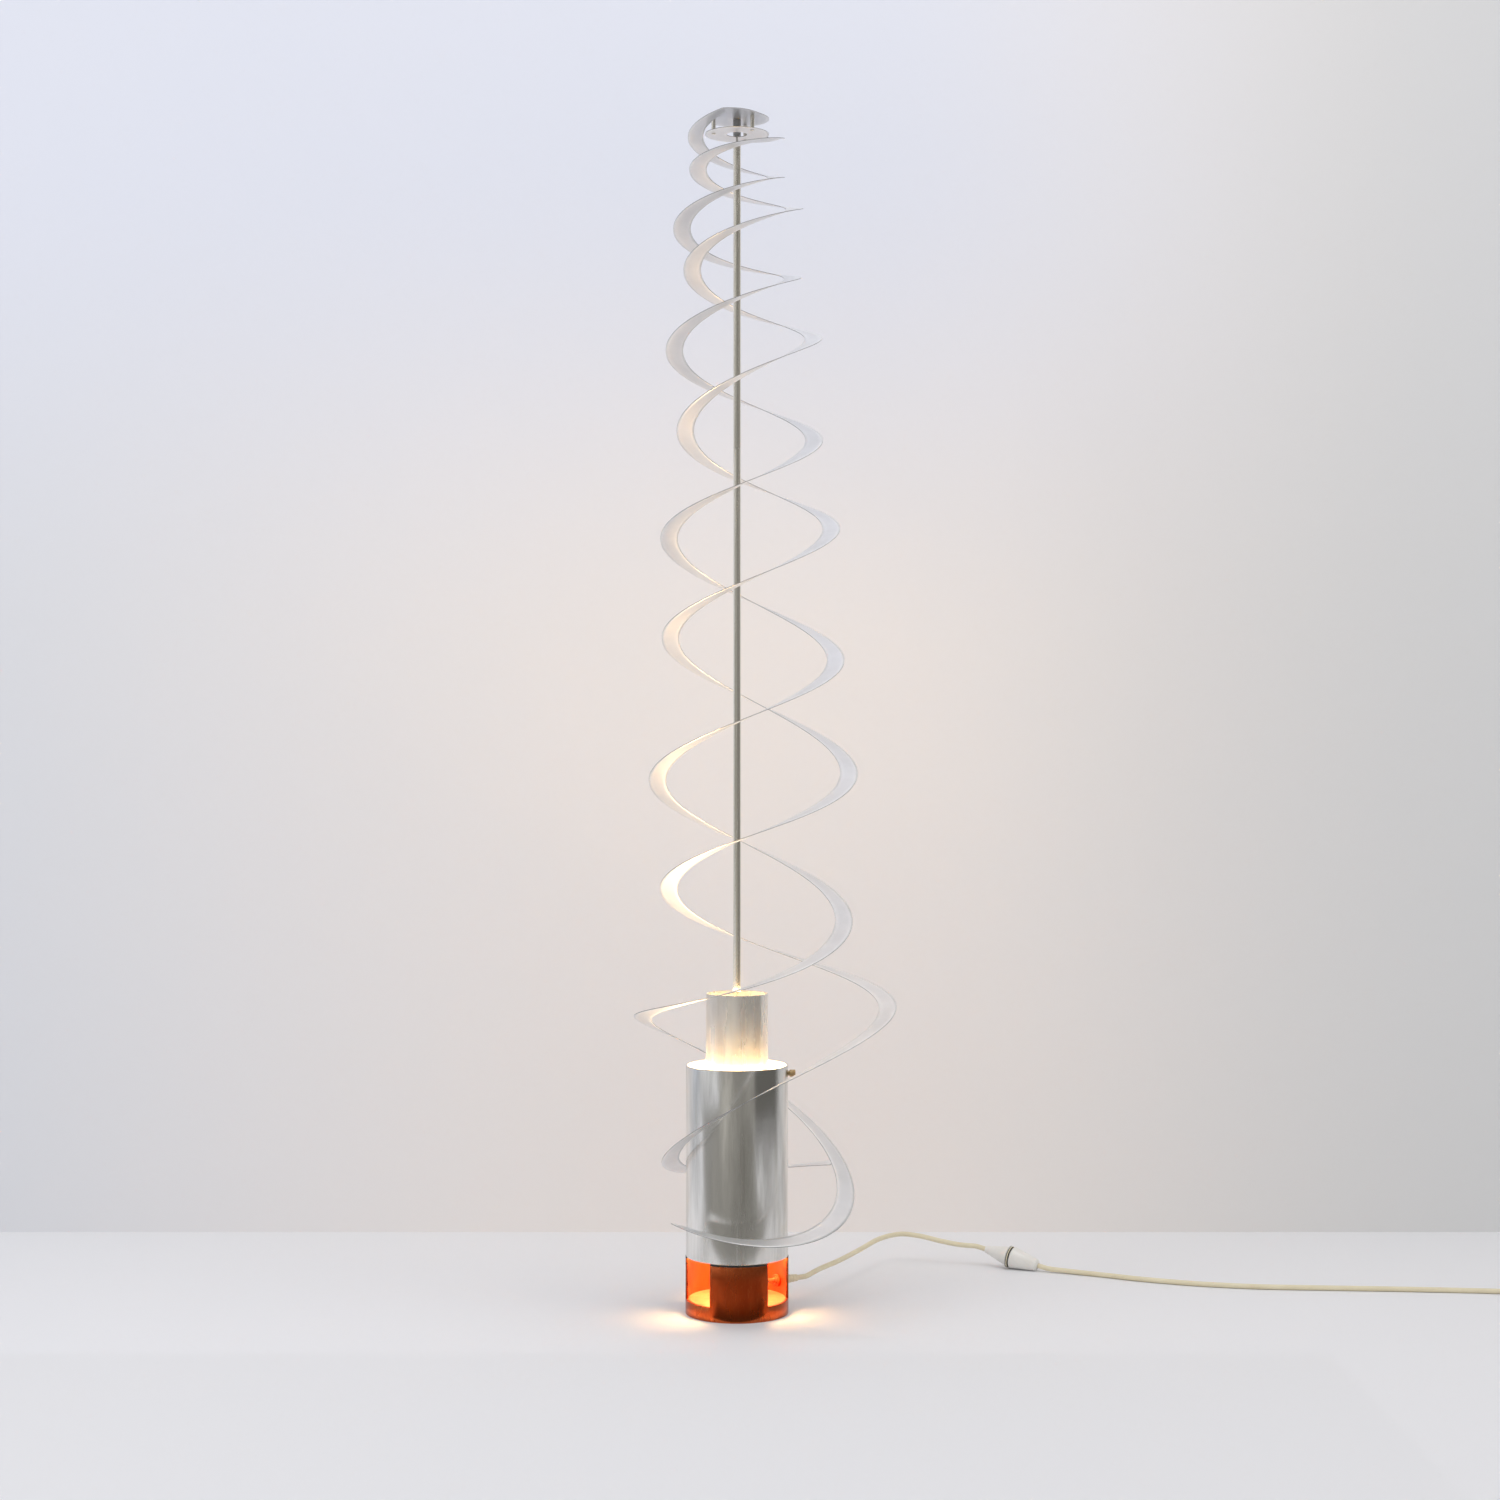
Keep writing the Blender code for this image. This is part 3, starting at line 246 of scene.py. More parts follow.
def toneGroup():
    # slow clouds of tone and a fine grain, both stretched along the way the metal was worked
    inputs = {"Place": None, "Stretch": (1.0, 1.0, 1.0), "Tone Scale": 20.0, "Grain Scale": 900.0}
    tree, given, wanted = groupOf("tone and grain", inputs, ("Tone", "Grain"))
    place = stretched(tree, given)
    clouds = noise(tree, place, given["Tone Scale"], 4.0, 0.6)
    tree.links.new(ranged(tree, clouds, 0.32, 0.68), wanted["Tone"])
    tree.links.new(noise(tree, place, given["Grain Scale"], 2.0), wanted["Grain"])
    return tree


def wearGroup():
    # bare, brighter metal on edges that stand out, broken up by noise
    inputs = {"Place": None, "Scale": 300.0, "Reach": 0.04}
    tree, given, wanted = groupOf("edge wear", inputs, ("Mask",))
    almostFlat = 0.505  # how a place that is hardly an edge reads
    pointed = tree.nodes.new("ShaderNodeNewGeometry").outputs["Pointiness"]
    edge = ranged(tree, pointed, almostFlat, calculated(tree, "ADD", almostFlat, given["Reach"]))
    broken = noise(tree, given["Place"], given["Scale"], 3.0)
    tree.links.new(calculated(tree, "MULTIPLY", edge, broken), wanted["Mask"])
    return tree


def dustGroup():
    # dust on what faces up, in uneven patches
    inputs = {"Place": None, "Scale": 60.0, "Amount": 0.2}
    tree, given, wanted = groupOf("settled dust", inputs, ("Mask",))
    normal = tree.nodes.new("ShaderNodeNewGeometry").outputs["Normal"]
    parts = put(tree, "ShaderNodeSeparateXYZ", {"Vector": normal})
    up = ranged(tree, parts.outputs["Z"], 0.5, 1.0)
    patchy = ranged(tree, noise(tree, given["Place"], given["Scale"], 5.0), 0.35, 0.7)
    both = calculated(tree, "MULTIPLY", up, patchy)
    tree.links.new(calculated(tree, "MULTIPLY", both, given["Amount"]), wanted["Mask"])
    return tree


def scratchGroup():
    # hair-fine scratches: thin crests of a noise drawn out along the surface
    inputs = {"Place": None, "Stretch": (1.0, 1.0, 0.08), "Scale": 260.0}
    tree, given, wanted = groupOf("fine scratches", inputs, ("Mask",))
    crest = calculated(tree, "SUBTRACT", noise(tree, stretched(tree, given), given["Scale"], 1.0), 0.5)
    near = calculated(tree, "ABSOLUTE", crest)
    tree.links.new(ranged(tree, near, 0.0, 0.02, 1.0, 0.0), wanted["Mask"])
    return tree


groups = {"tone": toneGroup(), "wear": wearGroup(), "dust": dustGroup(), "scratch": scratchGroup()}


def grouped(tree, name, values):
    node = tree.nodes.new("ShaderNodeGroup")
    node.node_tree = groups[name]
    return feed(tree, node, values).outputs


def blended(tree, mask, first, second):
    # first where the mask is 0, second where it is 1
    node = put(tree, "ShaderNodeMix", data_type="RGBA")
    tree.links.new(mask, node.inputs[0])
    for socket, value in ((node.inputs[6], first), (node.inputs[7], second)):
        if isinstance(value, bpy.types.NodeSocket):
            tree.links.new(value, socket)
        else:
            socket.default_value = (*value, 1.0)
    return node.outputs[2]


dustColour = (0.55, 0.52, 0.48)


def finishOf(name, look):
    # one finish: two tones in clouds, scratches, worn edges and dust over them, grain as bump
    material = bpy.data.materials.new(name)
    material.use_nodes = True
    tree = material.node_tree
    shader = tree.nodes["Principled BSDF"]
    shader.inputs["Metallic"].default_value = look.get("metallic", 1.0)
    shader.inputs["Coat Weight"].default_value = look.get("coat", 0.0)
    shader.inputs["Coat Roughness"].default_value = 0.1
    place = tree.nodes.new("ShaderNodeTexCoord").outputs["Object"]
    values = {"Place": place, "Stretch": look.get("stretch", (1.0, 1.0, 1.0))}
    values.update({"Tone Scale": look["toneScale"], "Grain Scale": look.get("grainScale", 900.0)})
    tone = grouped(tree, "tone", values)
    colour = blended(tree, tone["Tone"], look["colour"], look["second"])
    rough = ranged(tree, tone["Tone"], 0.0, 1.0, *look["rough"])
    if "scratch" in look:
        values = {"Place": place, "Stretch": look["scratchStretch"], "Scale": look["scratchScale"]}
        lines = grouped(tree, "scratch", values)["Mask"]
        colour = blended(tree, calculated(tree, "MULTIPLY", lines, look["scratch"]), colour, look["bare"])
    if "wear" in look:
        worn = grouped(tree, "wear", {"Place": place, "Reach": look["wear"]})["Mask"]
        colour = blended(tree, worn, colour, look["bare"])
    if "dust" in look:
        dust = grouped(tree, "dust", {"Place": place, "Amount": look["dust"]})["Mask"]
        colour = blended(tree, dust, colour, dustColour)
        rough = calculated(tree, "ADD", rough, dust, use_clamp=True)
    tree.links.new(colour, shader.inputs["Base Color"])
    tree.links.new(rough, shader.inputs["Roughness"])
    strength, distance = look["bump"]
    bump = put(tree, "ShaderNodeBump", {"Height": tone["Grain"], "Strength": strength, "Distance": distance})
    tree.links.new(bump.outputs[0], shader.inputs["Normal"])
    return material


lengthwise = (1.0, 1.0, 0.03)
finishes = {
    "copper": {
        "colour": (0.50, 0.075, 0.016), "second": (0.36, 0.048, 0.010), "rough": (0.22, 0.36),
        "stretch": (1.0, 1.0, 0.35), "toneScale": 34.0, "grainScale": 1400.0, "bump": (0.25, 0.00004),
        "scratch": 0.10, "scratchStretch": (1.0, 1.0, 0.1), "scratchScale": 300.0,
        "bare": (0.80, 0.28, 0.10), "wear": 0.05, "dust": 0.06,
    },
    # a lighter, less metallic copy of the copper for the ring's inside and the gland nut: painted light of
    # the lamps inside the base
    "copperInside": {
        "colour": (0.80, 0.115, 0.018), "second": (0.64, 0.075, 0.011), "metallic": 0.45,
        "rough": (0.38, 0.52), "stretch": (1.0, 1.0, 0.5), "toneScale": 45.0, "grainScale": 1200.0,
        "bump": (0.3, 0.00005),
    },
    # an orange-brown heat sleeve for the inner lead; on the gland's neck the same finish is painted shade
    "heatSleeve": {
        "colour": (0.55, 0.13, 0.03), "second": (0.42, 0.09, 0.02), "metallic": 0.0, "rough": (0.55, 0.7),
        "toneScale": 160.0, "grainScale": 2400.0, "bump": (0.5, 0.0001),
    },
    # a much lighter copy of the copper for the base floor that faces the lamps: painted lamp light, with
    # scratches and dust over it
    "copperFloor": {
        "colour": (0.98, 0.42, 0.17), "second": (0.88, 0.33, 0.12), "metallic": 0.45, "rough": (0.34, 0.50),
        "toneScale": 60.0, "bump": (0.3, 0.00005), "scratch": 0.15, "scratchStretch": (1.0, 0.2, 1.0),
        "scratchScale": 200.0, "bare": (0.85, 0.32, 0.13), "dust": 0.18,
    },
    "tubeMetal": {
        "colour": (0.90, 0.89, 0.86), "second": (0.56, 0.55, 0.52), "rough": (0.14, 0.30),
        "stretch": (1.0, 1.0, 0.10), "toneScale": 60.0, "grainScale": 1500.0, "bump": (0.3, 0.00005),
        "scratch": 0.25, "scratchStretch": lengthwise, "scratchScale": 190.0,
        "bare": (0.92, 0.91, 0.88), "wear": 0.05, "dust": 0.08,
    },
    # a lighter, warmer, matt copy of the tube metal for the tube's inside faces: painted light where the
    # lamps' glow falls
    "tubeInside": {
        "colour": (0.92, 0.88, 0.80), "second": (0.84, 0.79, 0.70), "metallic": 0.15, "rough": (0.45, 0.60),
        "stretch": (1.0, 1.0, 0.2), "toneScale": 40.0, "grainScale": 1500.0, "bump": (0.2, 0.00004),
    },
    "chimneyMetal": {
        "colour": (0.90, 0.86, 0.80), "second": (0.64, 0.58, 0.52), "metallic": 0.72, "rough": (0.22, 0.34),
        "stretch": (1.0, 1.0, 0.12), "toneScale": 55.0, "grainScale": 1500.0, "bump": (0.22, 0.00004),
        "scratch": 0.12, "scratchStretch": lengthwise, "scratchScale": 190.0,
        "bare": (0.92, 0.91, 0.88), "wear": 0.05,
    },
    "rodMetal": {
        "colour": (0.94, 0.90, 0.82), "second": (0.78, 0.74, 0.64), "metallic": 0.94, "rough": (0.18, 0.30),
        "stretch": lengthwise, "toneScale": 60.0, "grainScale": 2000.0, "bump": (0.3, 0.00004),
        "scratch": 0.2, "scratchStretch": lengthwise, "scratchScale": 900.0,
        "bare": (0.86, 0.84, 0.80), "wear": 0.05,
    },
    "thinSheet": {
        "colour": (0.85, 0.85, 0.86), "second": (0.765, 0.765, 0.775), "metallic": 0.72,
        "rough": (0.34, 0.46), "toneScale": 12.0, "grainScale": 1800.0, "bump": (0.18, 0.00003),
        "scratch": 0.10, "scratchStretch": (1.0, 0.06, 1.0), "scratchScale": 220.0,
        "bare": (0.95, 0.95, 0.95), "wear": 0.04, "dust": 0.05,
    },
    # dark grey for the sheets' cut edges: painted shade along the edges, on a rougher surface
    "sheetEdge": {
        "colour": (0.30, 0.30, 0.31), "second": (0.24, 0.24, 0.25), "metallic": 0.6, "rough": (0.45, 0.60),
        "toneScale": 40.0, "bump": (0.2, 0.00003),
    },
    "plainSteel": {
        "colour": (0.46, 0.46, 0.45), "second": (0.36, 0.355, 0.35), "rough": (0.30, 0.45),
        "toneScale": 90.0, "bump": (0.3, 0.00004), "scratch": 0.2, "scratchStretch": (1.0, 0.1, 1.0),
        "scratchScale": 500.0, "bare": (0.62, 0.62, 0.60), "wear": 0.05, "dust": 0.1,
    },
    "plainBrass": {
        "colour": (0.56, 0.42, 0.24), "second": (0.42, 0.30, 0.16), "rough": (0.22, 0.36),
        "toneScale": 160.0, "bump": (0.3, 0.00003), "scratch": 0.2, "scratchStretch": (0.1, 1.0, 1.0),
        "scratchScale": 700.0, "bare": (0.88, 0.66, 0.34), "wear": 0.05,
    },
    "blackRubber": {
        "colour": (0.020, 0.020, 0.020), "second": (0.032, 0.031, 0.030), "metallic": 0.0,
        "rough": (0.62, 0.80), "toneScale": 200.0, "grainScale": 3000.0, "bump": (0.5, 0.0001), "dust": 0.12,
    },
    "blackPlastic": {
        "colour": (0.018, 0.018, 0.019), "second": (0.028, 0.028, 0.028), "metallic": 0.0,
        "rough": (0.34, 0.48), "toneScale": 120.0, "grainScale": 2400.0, "bump": (0.35, 0.00006), "dust": 0.1,
    },
    "greyPlastic": {
        "colour": (0.24, 0.24, 0.235), "second": (0.19, 0.19, 0.185), "metallic": 0.0,
        "rough": (0.34, 0.48), "toneScale": 120.0, "grainScale": 2400.0, "bump": (0.35, 0.00006), "dust": 0.1,
    },
    "whitePlastic": {
        "colour": (0.80, 0.79, 0.755), "second": (0.74, 0.725, 0.68), "metallic": 0.0, "rough": (0.26, 0.38),
        "coat": 0.15, "toneScale": 60.0, "grainScale": 1600.0, "bump": (0.2, 0.00004), "dust": 0.10,
        "scratch": 0.10, "scratchStretch": (0.15, 1.0, 1.0), "scratchScale": 500.0,
        "bare": (0.66, 0.64, 0.58),
    },
    "creamVinyl": {
        "colour": (0.76, 0.69, 0.50), "second": (0.70, 0.62, 0.43), "metallic": 0.0, "rough": (0.36, 0.50),
        "coat": 0.08, "toneScale": 40.0, "grainScale": 1500.0, "bump": (0.3, 0.00005), "dust": 0.12,
    },
    "glazedCeramic": {
        "colour": (0.84, 0.82, 0.77), "second": (0.78, 0.755, 0.69), "metallic": 0.0, "rough": (0.18, 0.30),
        "coat": 0.4, "toneScale": 80.0, "bump": (0.15, 0.00005), "dust": 0.08,
    },
}
made = {name: finishOf(name, look) for name, look in finishes.items()}


def litGlass(look):
    # frosted glass lit from within, with a fine frost as bump
    material = finishOf("frostedGlass", look)
    shader = material.node_tree.nodes["Principled BSDF"]
    shader.inputs["Emission Color"].default_value = (*look["glow"], 1)
    shader.inputs["Emission Strength"].default_value = look["strength"]
    return material


made["frostedGlass"] = litGlass(
    {
        "colour": (0.90, 0.84, 0.74), "second": (0.84, 0.76, 0.64), "metallic": 0.0, "rough": (0.35, 0.5),
        "toneScale": 70.0, "grainScale": 2600.0, "bump": (0.3, 0.00004),
        "glow": (1.0, 0.64, 0.32), "strength": 34.0,
    }
)
finishOfSlot = {
    "copper": "copper", "aluminium": "tubeMetal", "thin_sheet": "thinSheet", "steel": "plainSteel",
    "brass": "plainBrass", "black_rubber": "blackRubber", "black_plastic": "blackPlastic",
    "white_plastic": "whitePlastic", "cream_vinyl": "creamVinyl", "ceramic": "glazedCeramic",
    "bulb_glass": "frostedGlass",
}
slotOf = {part["node"]: part["material_slot"] for part in frame["record"]["subparts"]}
# the nut inside the base takes the lit copy of the copper: painted lamp light
finishOfNode = {"gland_nut": "copperInside"}
for node, obj in nodes.items():
    for holder in obj.material_slots:
        holder.material = made[finishOfNode.get(node, finishOfSlot[slotOf[node]])]
print("finishes made:", len(made))

# cords: the lamp flex to the in-line connector, and the supply flex with its coil and plug

cord = {
    "radius": 0.0031,
    "glandAngle": math.radians(122.8),
    "glandHeight": 0.031,
    "glandTip": 0.0844,
    "leadReaches": (0.0843, 0.0437),
    "flexStart": (0.07120, 0.04588, 0.031),
    "lampRoute": (
        (0.1000, 0.0890, 0.0325), (0.1260, 0.1360, 0.0335), (0.1530, 0.1950, 0.0345),
        (0.1810, 0.2590, 0.0355), (0.2090, 0.2930, 0.0350), (0.2350, 0.2930, 0.0325),
        (0.2600, 0.2790, 0.0290), (0.2840, 0.2725, 0.0255),
    ),
    "flexEnd": (0.31727, 0.26473, 0.02129),
    "supplyStart": (0.38073, 0.23027, 0.00711),
    "supplyRoute": (
        (0.4070, 0.2175, 0.0040), (0.4310, 0.2075, 0.0032), (0.4655, 0.1885, 0.0032),
        (0.5000, 0.1690, 0.0032), (0.5345, 0.1535, 0.0032), (0.5700, 0.1400, 0.0032),
        (0.6160, 0.1285, 0.0032), (0.6570, 0.1220, 0.0032), (0.7500, 0.1150, 0.0032),
        (0.8300, 0.1085, 0.0032), (0.9000, 0.1015, 0.0032), (0.9500, 0.0935, 0.0036),
    ),
    "coilMiddle": (1.000, 0.131, 0.0046),
    "coilRadius": 0.0405,
    "coilPitch": 0.0069,
    "coilClimb": 0.0067,
    "coilTurns": 4.25,
    "plugBack": (1.0405, 0.1838, 0.00695),
    "spacing": 0.0025,
}
connector = {
    "middle": np.array([0.3490, 0.2475, 0.014204]),
    "along": np.array([0.862356, -0.468221, -0.192642]),
    "radius": 0.014, "halfLength": 0.0365, "gap": 0.0008,
    "flange": 0.0045, "plugCone": 0.0122, "plugTip": 0.0044,
    "socketBarrel": 0.0015, "socketEnd": 0.0076, "socketTip": 0.0046,
    "coneRows": 14, "ribsFrom": 8, "ribDepth": 0.0004, "latchInset": 0.0022,
}
straight = 4 * cord["radius"]
along = connector["along"]
glandOut = around(cord["glandAngle"], 1.0, 0.0)


def coilPath(turns):
    # a flat coil in two layers: radius falls a pitch each turn, then grows again one layer up
    radius = cord["coilRadius"] - cord["coilPitch"] * np.minimum(turns, cord["coilTurns"] - turns)
    climb = np.clip((turns - (cord["coilTurns"] - 0.5) / 2) / 0.5, 0, 1)
    height = cord["coilClimb"] * climb * climb * (3 - 2 * climb)
    return np.asarray(cord["coilMiddle"]) + around(fullTurn * turns, radius, height)


def stretch(start, startWay, via, end, endWay):
    # a route with straight ends, smoothed
    start, end = np.asarray(start, float), np.asarray(end, float)
    route = [start, start + np.asarray(startWay) * straight, *map(np.asarray, via)]
    return smoothPath([*route, end - np.asarray(endWay) * straight, end], cord["spacing"])


lampPath = stretch(cord["flexStart"], glandOut, cord["lampRoute"], cord["flexEnd"], along)
lampFlex = surface(
    "lampFlex", [sweptPatch(lampPath, cord["radius"], 24)], made["creamVinyl"], "base"
)
coil = coilPath(np.linspace(0, cord["coilTurns"], 400))
supplyPath = stretch(cord["supplyStart"], along, cord["supplyRoute"], coil[0] - (0.0062, 0, 0), rightward)
leadPath = stretch(coil[-1] + (0, 0.0062, 0), (0, 1, 0), (), cord["plugBack"], (0, 1, 0))
supplyPath = respaced(np.concatenate([supplyPath, coil, leadPath]), cord["spacing"])
supplyFlex = surface(
    "supplyFlex", [sweptPatch(supplyPath, cord["radius"], 20)], made["creamVinyl"], "base"
)
print("cords", round(pathLength(lampPath), 4), round(pathLength(supplyPath), 4))


def turned(name, node, material, slot, outline, body="base", **way):
    # a turned piece that stands for the node it is named after
    piece = surface(name, [turnedPatch(outline, **way)], made[material], body)
    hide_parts(node)
    return piece


def faceCentres(piece):
    centres = np.zeros(3 * len(piece.data.polygons))
    piece.data.polygons.foreach_get("center", centres)
    return centres.reshape(-1, 3)


def paint(piece, finish, chosen):
    # gives the chosen faces another finish
    piece.data.materials.append(made[finish])
    slot = np.zeros(len(piece.data.polygons), np.int32)
    piece.data.polygons.foreach_get("material_index", slot)
    slot[chosen] = len(piece.data.materials) - 1
    piece.data.polygons.foreach_set("material_index", slot)


def connectorPieces():
    # the plug's cone and flange face the lamp, the socket's barrel and cone face the coil
    c = connector
    half, gap, big = c["halfLength"], c["gap"] / 2, c["radius"]
    where = {"place": tuple(c["middle"]), "segments": 96, "reach": 0.0005}
    white = ("whitePlastic", "white_plastic")
    rows = np.arange(c["coneRows"])
    cone = np.linspace(0, 1, c["coneRows"])[:, None]
    taper = (1 - cone) * (c["plugCone"], gap + c["flange"] + 0.0006) + cone * (c["plugTip"], half)
    ribs = np.where((rows > c["ribsFrom"]) & (rows % 2 == 0), c["ribDepth"], 0)[:, None] * (1, 0)
    inset = big - c["latchInset"]
    plugOutline = [(0, half), *(taper - ribs)[::-1].tolist(), (big - 0.0002, gap + c["flange"])]
    plugOutline += [(big, gap + 0.0036), (inset, gap + 0.0033), (inset, gap + 0.0024),
                    (big - 0.0005, gap + 0.0022), (big - 0.0005, gap + 0.0009), (inset, gap + 0.0007),
                    (big - 0.0026, gap), (0, gap)]
    plug = turned("inlinePlug", "inline_plug", *white, plugOutline, axis=-along, **where)
    fromMiddle = faceCentres(plug) - c["middle"]
    depth = fromMiddle @ -along
    radial = np.linalg.norm(np.cross(fromMiddle, along), axis=1)
    seam = (depth > gap + 0.0001) & (depth < gap + 0.0033) & (radial > big - 0.0028)
    ring = (depth > gap + 0.0009) & (depth < gap + 0.0022)
    paint(plug, "creamVinyl", seam & ring)
    paint(plug, "blackRubber", seam & ~ring)
    coneStart = gap + c["socketBarrel"]
    socketOutline = [(0, gap), (big - 0.0026, gap), (big - 0.0006, gap + 0.0004), (big, gap + 0.0010)]
    socketOutline.append((big, coneStart))
    taper = (1 - cone) * (big - 0.0004, coneStart + 0.0006) + cone * (c["socketEnd"], half - 0.002)
    socketOutline += [*taper.tolist(), (c["socketTip"], half), (0, half)]
    return plug, turned("inlineSocket", "inline_socket", *white, socketOutline, axis=along, **where)


inlinePlug, inlineSocket = connectorPieces()
gland = {"flange": 0.0066, "sleeve": 0.0055, "tip": 0.0042, "neck": 0.0048, "face": 0.0608, "end": 0.0523}


def cordGland():
    # a flange against the pillar and a tapered sleeve with five shallow rings for the cord to bend in
    share = np.linspace(0, 1, 31)
    radius = gland["sleeve"] + (gland["tip"] - gland["sleeve"]) * share
    radius = radius - 0.0005 * (np.sin(share * fullTurn * 5) > 0.3) * (share > 0.12)
    height = gland["face"] + 0.0016 + (cord["glandTip"] - gland["face"] - 0.0016) * share
    outline = [(0.0034, cord["glandTip"])] + np.stack([radius, height], 1)[::-1].tolist()
    outline += [(gland["flange"], gland["face"] + 0.0016), (gland["flange"], gland["face"])]
    outline += [(gland["neck"], gland["face"]), (gland["neck"], gland["end"]), (0.0034, gland["end"])]
    piece = turned(
        "cordGland", "cord_gland", "creamVinyl", "cream_vinyl", outline, closed=True,
        place=(0, 0, cord["glandHeight"]), axis=glandOut
    )
    # the neck inside the base is painted the dark orange-brown of the inner lead's sleeve: painted shade, so
    # it shows no lit cream ring
    paint(piece, "heatSleeve", faceCentres(piece) @ glandOut < gland["face"] - 0.0002)
    return piece


glandPiece = cordGland()


plugForm = {
    "length": 0.036, "corners": 72,
    "share": (0, 0.015, 0.06, 0.2, 0.34, 0.45, 0.55, 0.7, 0.93, 0.985, 1.0),
    "width": (0.0042, 0.0052, 0.0056, 0.0092, 0.0138, 0.0163, 0.0172, 0.0174, 0.0174, 0.0168, 0.0160),
    "thick": (0.0042, 0.0052, 0.0056, 0.0062, 0.0066, 0.0068, 0.0068, 0.0068, 0.0068, 0.0064, 0.0057),
    "power": (2, 2, 2.2, 2.8, 3.6, 4.5, 5, 5, 5, 5, 5),
}


def mainsPlug():
    # rounded rectangles lofted from the cord to the face: |x/w|^n + |z/t|^n = 1, growing in width
    form = plugForm
    tables = (form[key] for key in ("share", "width", "thick", "power"))
    share, width, thick, power = (np.array(table)[:, None] for table in tables)
    turn = np.linspace(0, fullTurn, form["corners"], endpoint=False)[None, :]
    x = np.sign(np.cos(turn)) * np.abs(np.cos(turn)) ** (2 / power) * width
    z = np.sign(np.sin(turn)) * np.abs(np.sin(turn)) ** (2 / power) * thick
    points = np.stack([x, share * form["length"] + 0 * x, z], axis=-1)
    back, front = points[:1] * (0, 1, 0), points[-1:] * (0, 1, 0)
    points = np.concatenate([back, points, front]) + cord["plugBack"]
    patch = (points, gridFaces(len(points), form["corners"], False, True))
    piece = surface("mainsPlug", [patch], made["whitePlastic"], "base")
    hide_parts("mains_plug")
    return piece


tie = {"thickness": 0.0008, "squareness": 0.42, "corners": 72}


def coilTie():
    # a flat band round the coil's bundle: a rounded rectangle of two walls, carried across 8 mm
    low, high = (np.array(corner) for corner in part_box("coil_tie"))
    middle, size = (low + high) / 2, high - low
    turn = np.linspace(0, fullTurn, tie["corners"], endpoint=False)
    form = [np.sign(f(turn)) * np.abs(f(turn)) ** tie["squareness"] / 2 for f in (np.cos, np.sin)]
    wall = np.array([0, 0, tie["thickness"], tie["thickness"]])[:, None]
    side = np.array([0.5, -0.5, -0.5, 0.5])[:, None] * size[1]
    points = np.stack([form[0] * (size[0] - 2 * wall), side + 0 * turn, form[1] * (size[2] - 2 * wall)], -1)
    patch = (points + middle, gridFaces(4, tie["corners"], True, True))
    piece = surface("coilTie", [patch], made["blackPlastic"], "base")
    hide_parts("coil_tie")
    return piece


mainsPlugPiece, coilTiePiece = mainsPlug(), coilTie()
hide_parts("lamp_flex")
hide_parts("supply_flex", "cord_coil", "plug_lead")
tuple(around(cord["glandAngle"], cord["glandTip"], cord["glandHeight"]).tolist())

# spirals

spirals = {
    "spiralUpper": {
        "node": "spiral_upper", "slit": math.radians(-18), "turns": 6.1, "height": 1.403, "reach": 0.129,
        "radii": (0.418, 0.512, 0.648, 0.767, 0.908, 1.0, 0.92), "endHeight": 0.0825,
        "drops": (0, 0.0797, 0.1827, 0.3471, 0.5594, 0.7942, 1.0), "lean": 0.0205,
        "leans": (0, -0.32, 0.04, 0.50, 0.78, 0.35, 1.0),
        "sideSlopes": (0, 0.042, -0.014, -0.037, -0.507), "frontSlopes": (0, -0.059, 0.035, -0.019, 0.198),
        "hole": 0.0025,
    },
    "spiralLower": {
        "node": "spiral_lower", "slit": math.radians(111.6), "turns": 5.89, "height": 1.385, "reach": 0.1429,
        "radii": (0.383, 0.469, 0.576, 0.679, 0.807, 0.948, 1.0), "endHeight": 0.1367,
        "drops": (0, 0.0642, 0.1799, 0.3493, 0.5596, 0.7988, 1.0), "lean": 0.0535,
        "leans": (0, 0.17, 0.29, 0.41, 0.39, 0.89, 1.0),
        "sideSlopes": (0, 0.037, 0.030, -0.058, 0.439), "frontSlopes": (0, -0.051, -0.021, 0.005, -0.068),
        "hole": 0.012,
    },
}
strip = {"hub": 0.0376, "width": 0.0205, "slit": 0.0006, "sheet": 0.0006, "rim": 240, "flare": 48,
         "rowsPerTurn": 112, "columns": 7}


def spread(values, share):
    # evenly spaced values joined by the cubic through four neighbours, read at each share
    values = np.asarray(values, float)
    at = np.clip(share, 0, 1) * (len(values) - 1)
    low = np.minimum(at.astype(int), len(values) - 2)
    t = at - low
    ends = np.concatenate([[2 * values[0] - values[1]], values, [2 * values[-1] - values[-2]]])
    a, b, c, d = (ends[low + k] for k in range(4))
    return b + 0.5 * t * (c - a + t * (2 * a - 5 * b + 4 * c - d + t * (3 * (b - c) + d - a)))


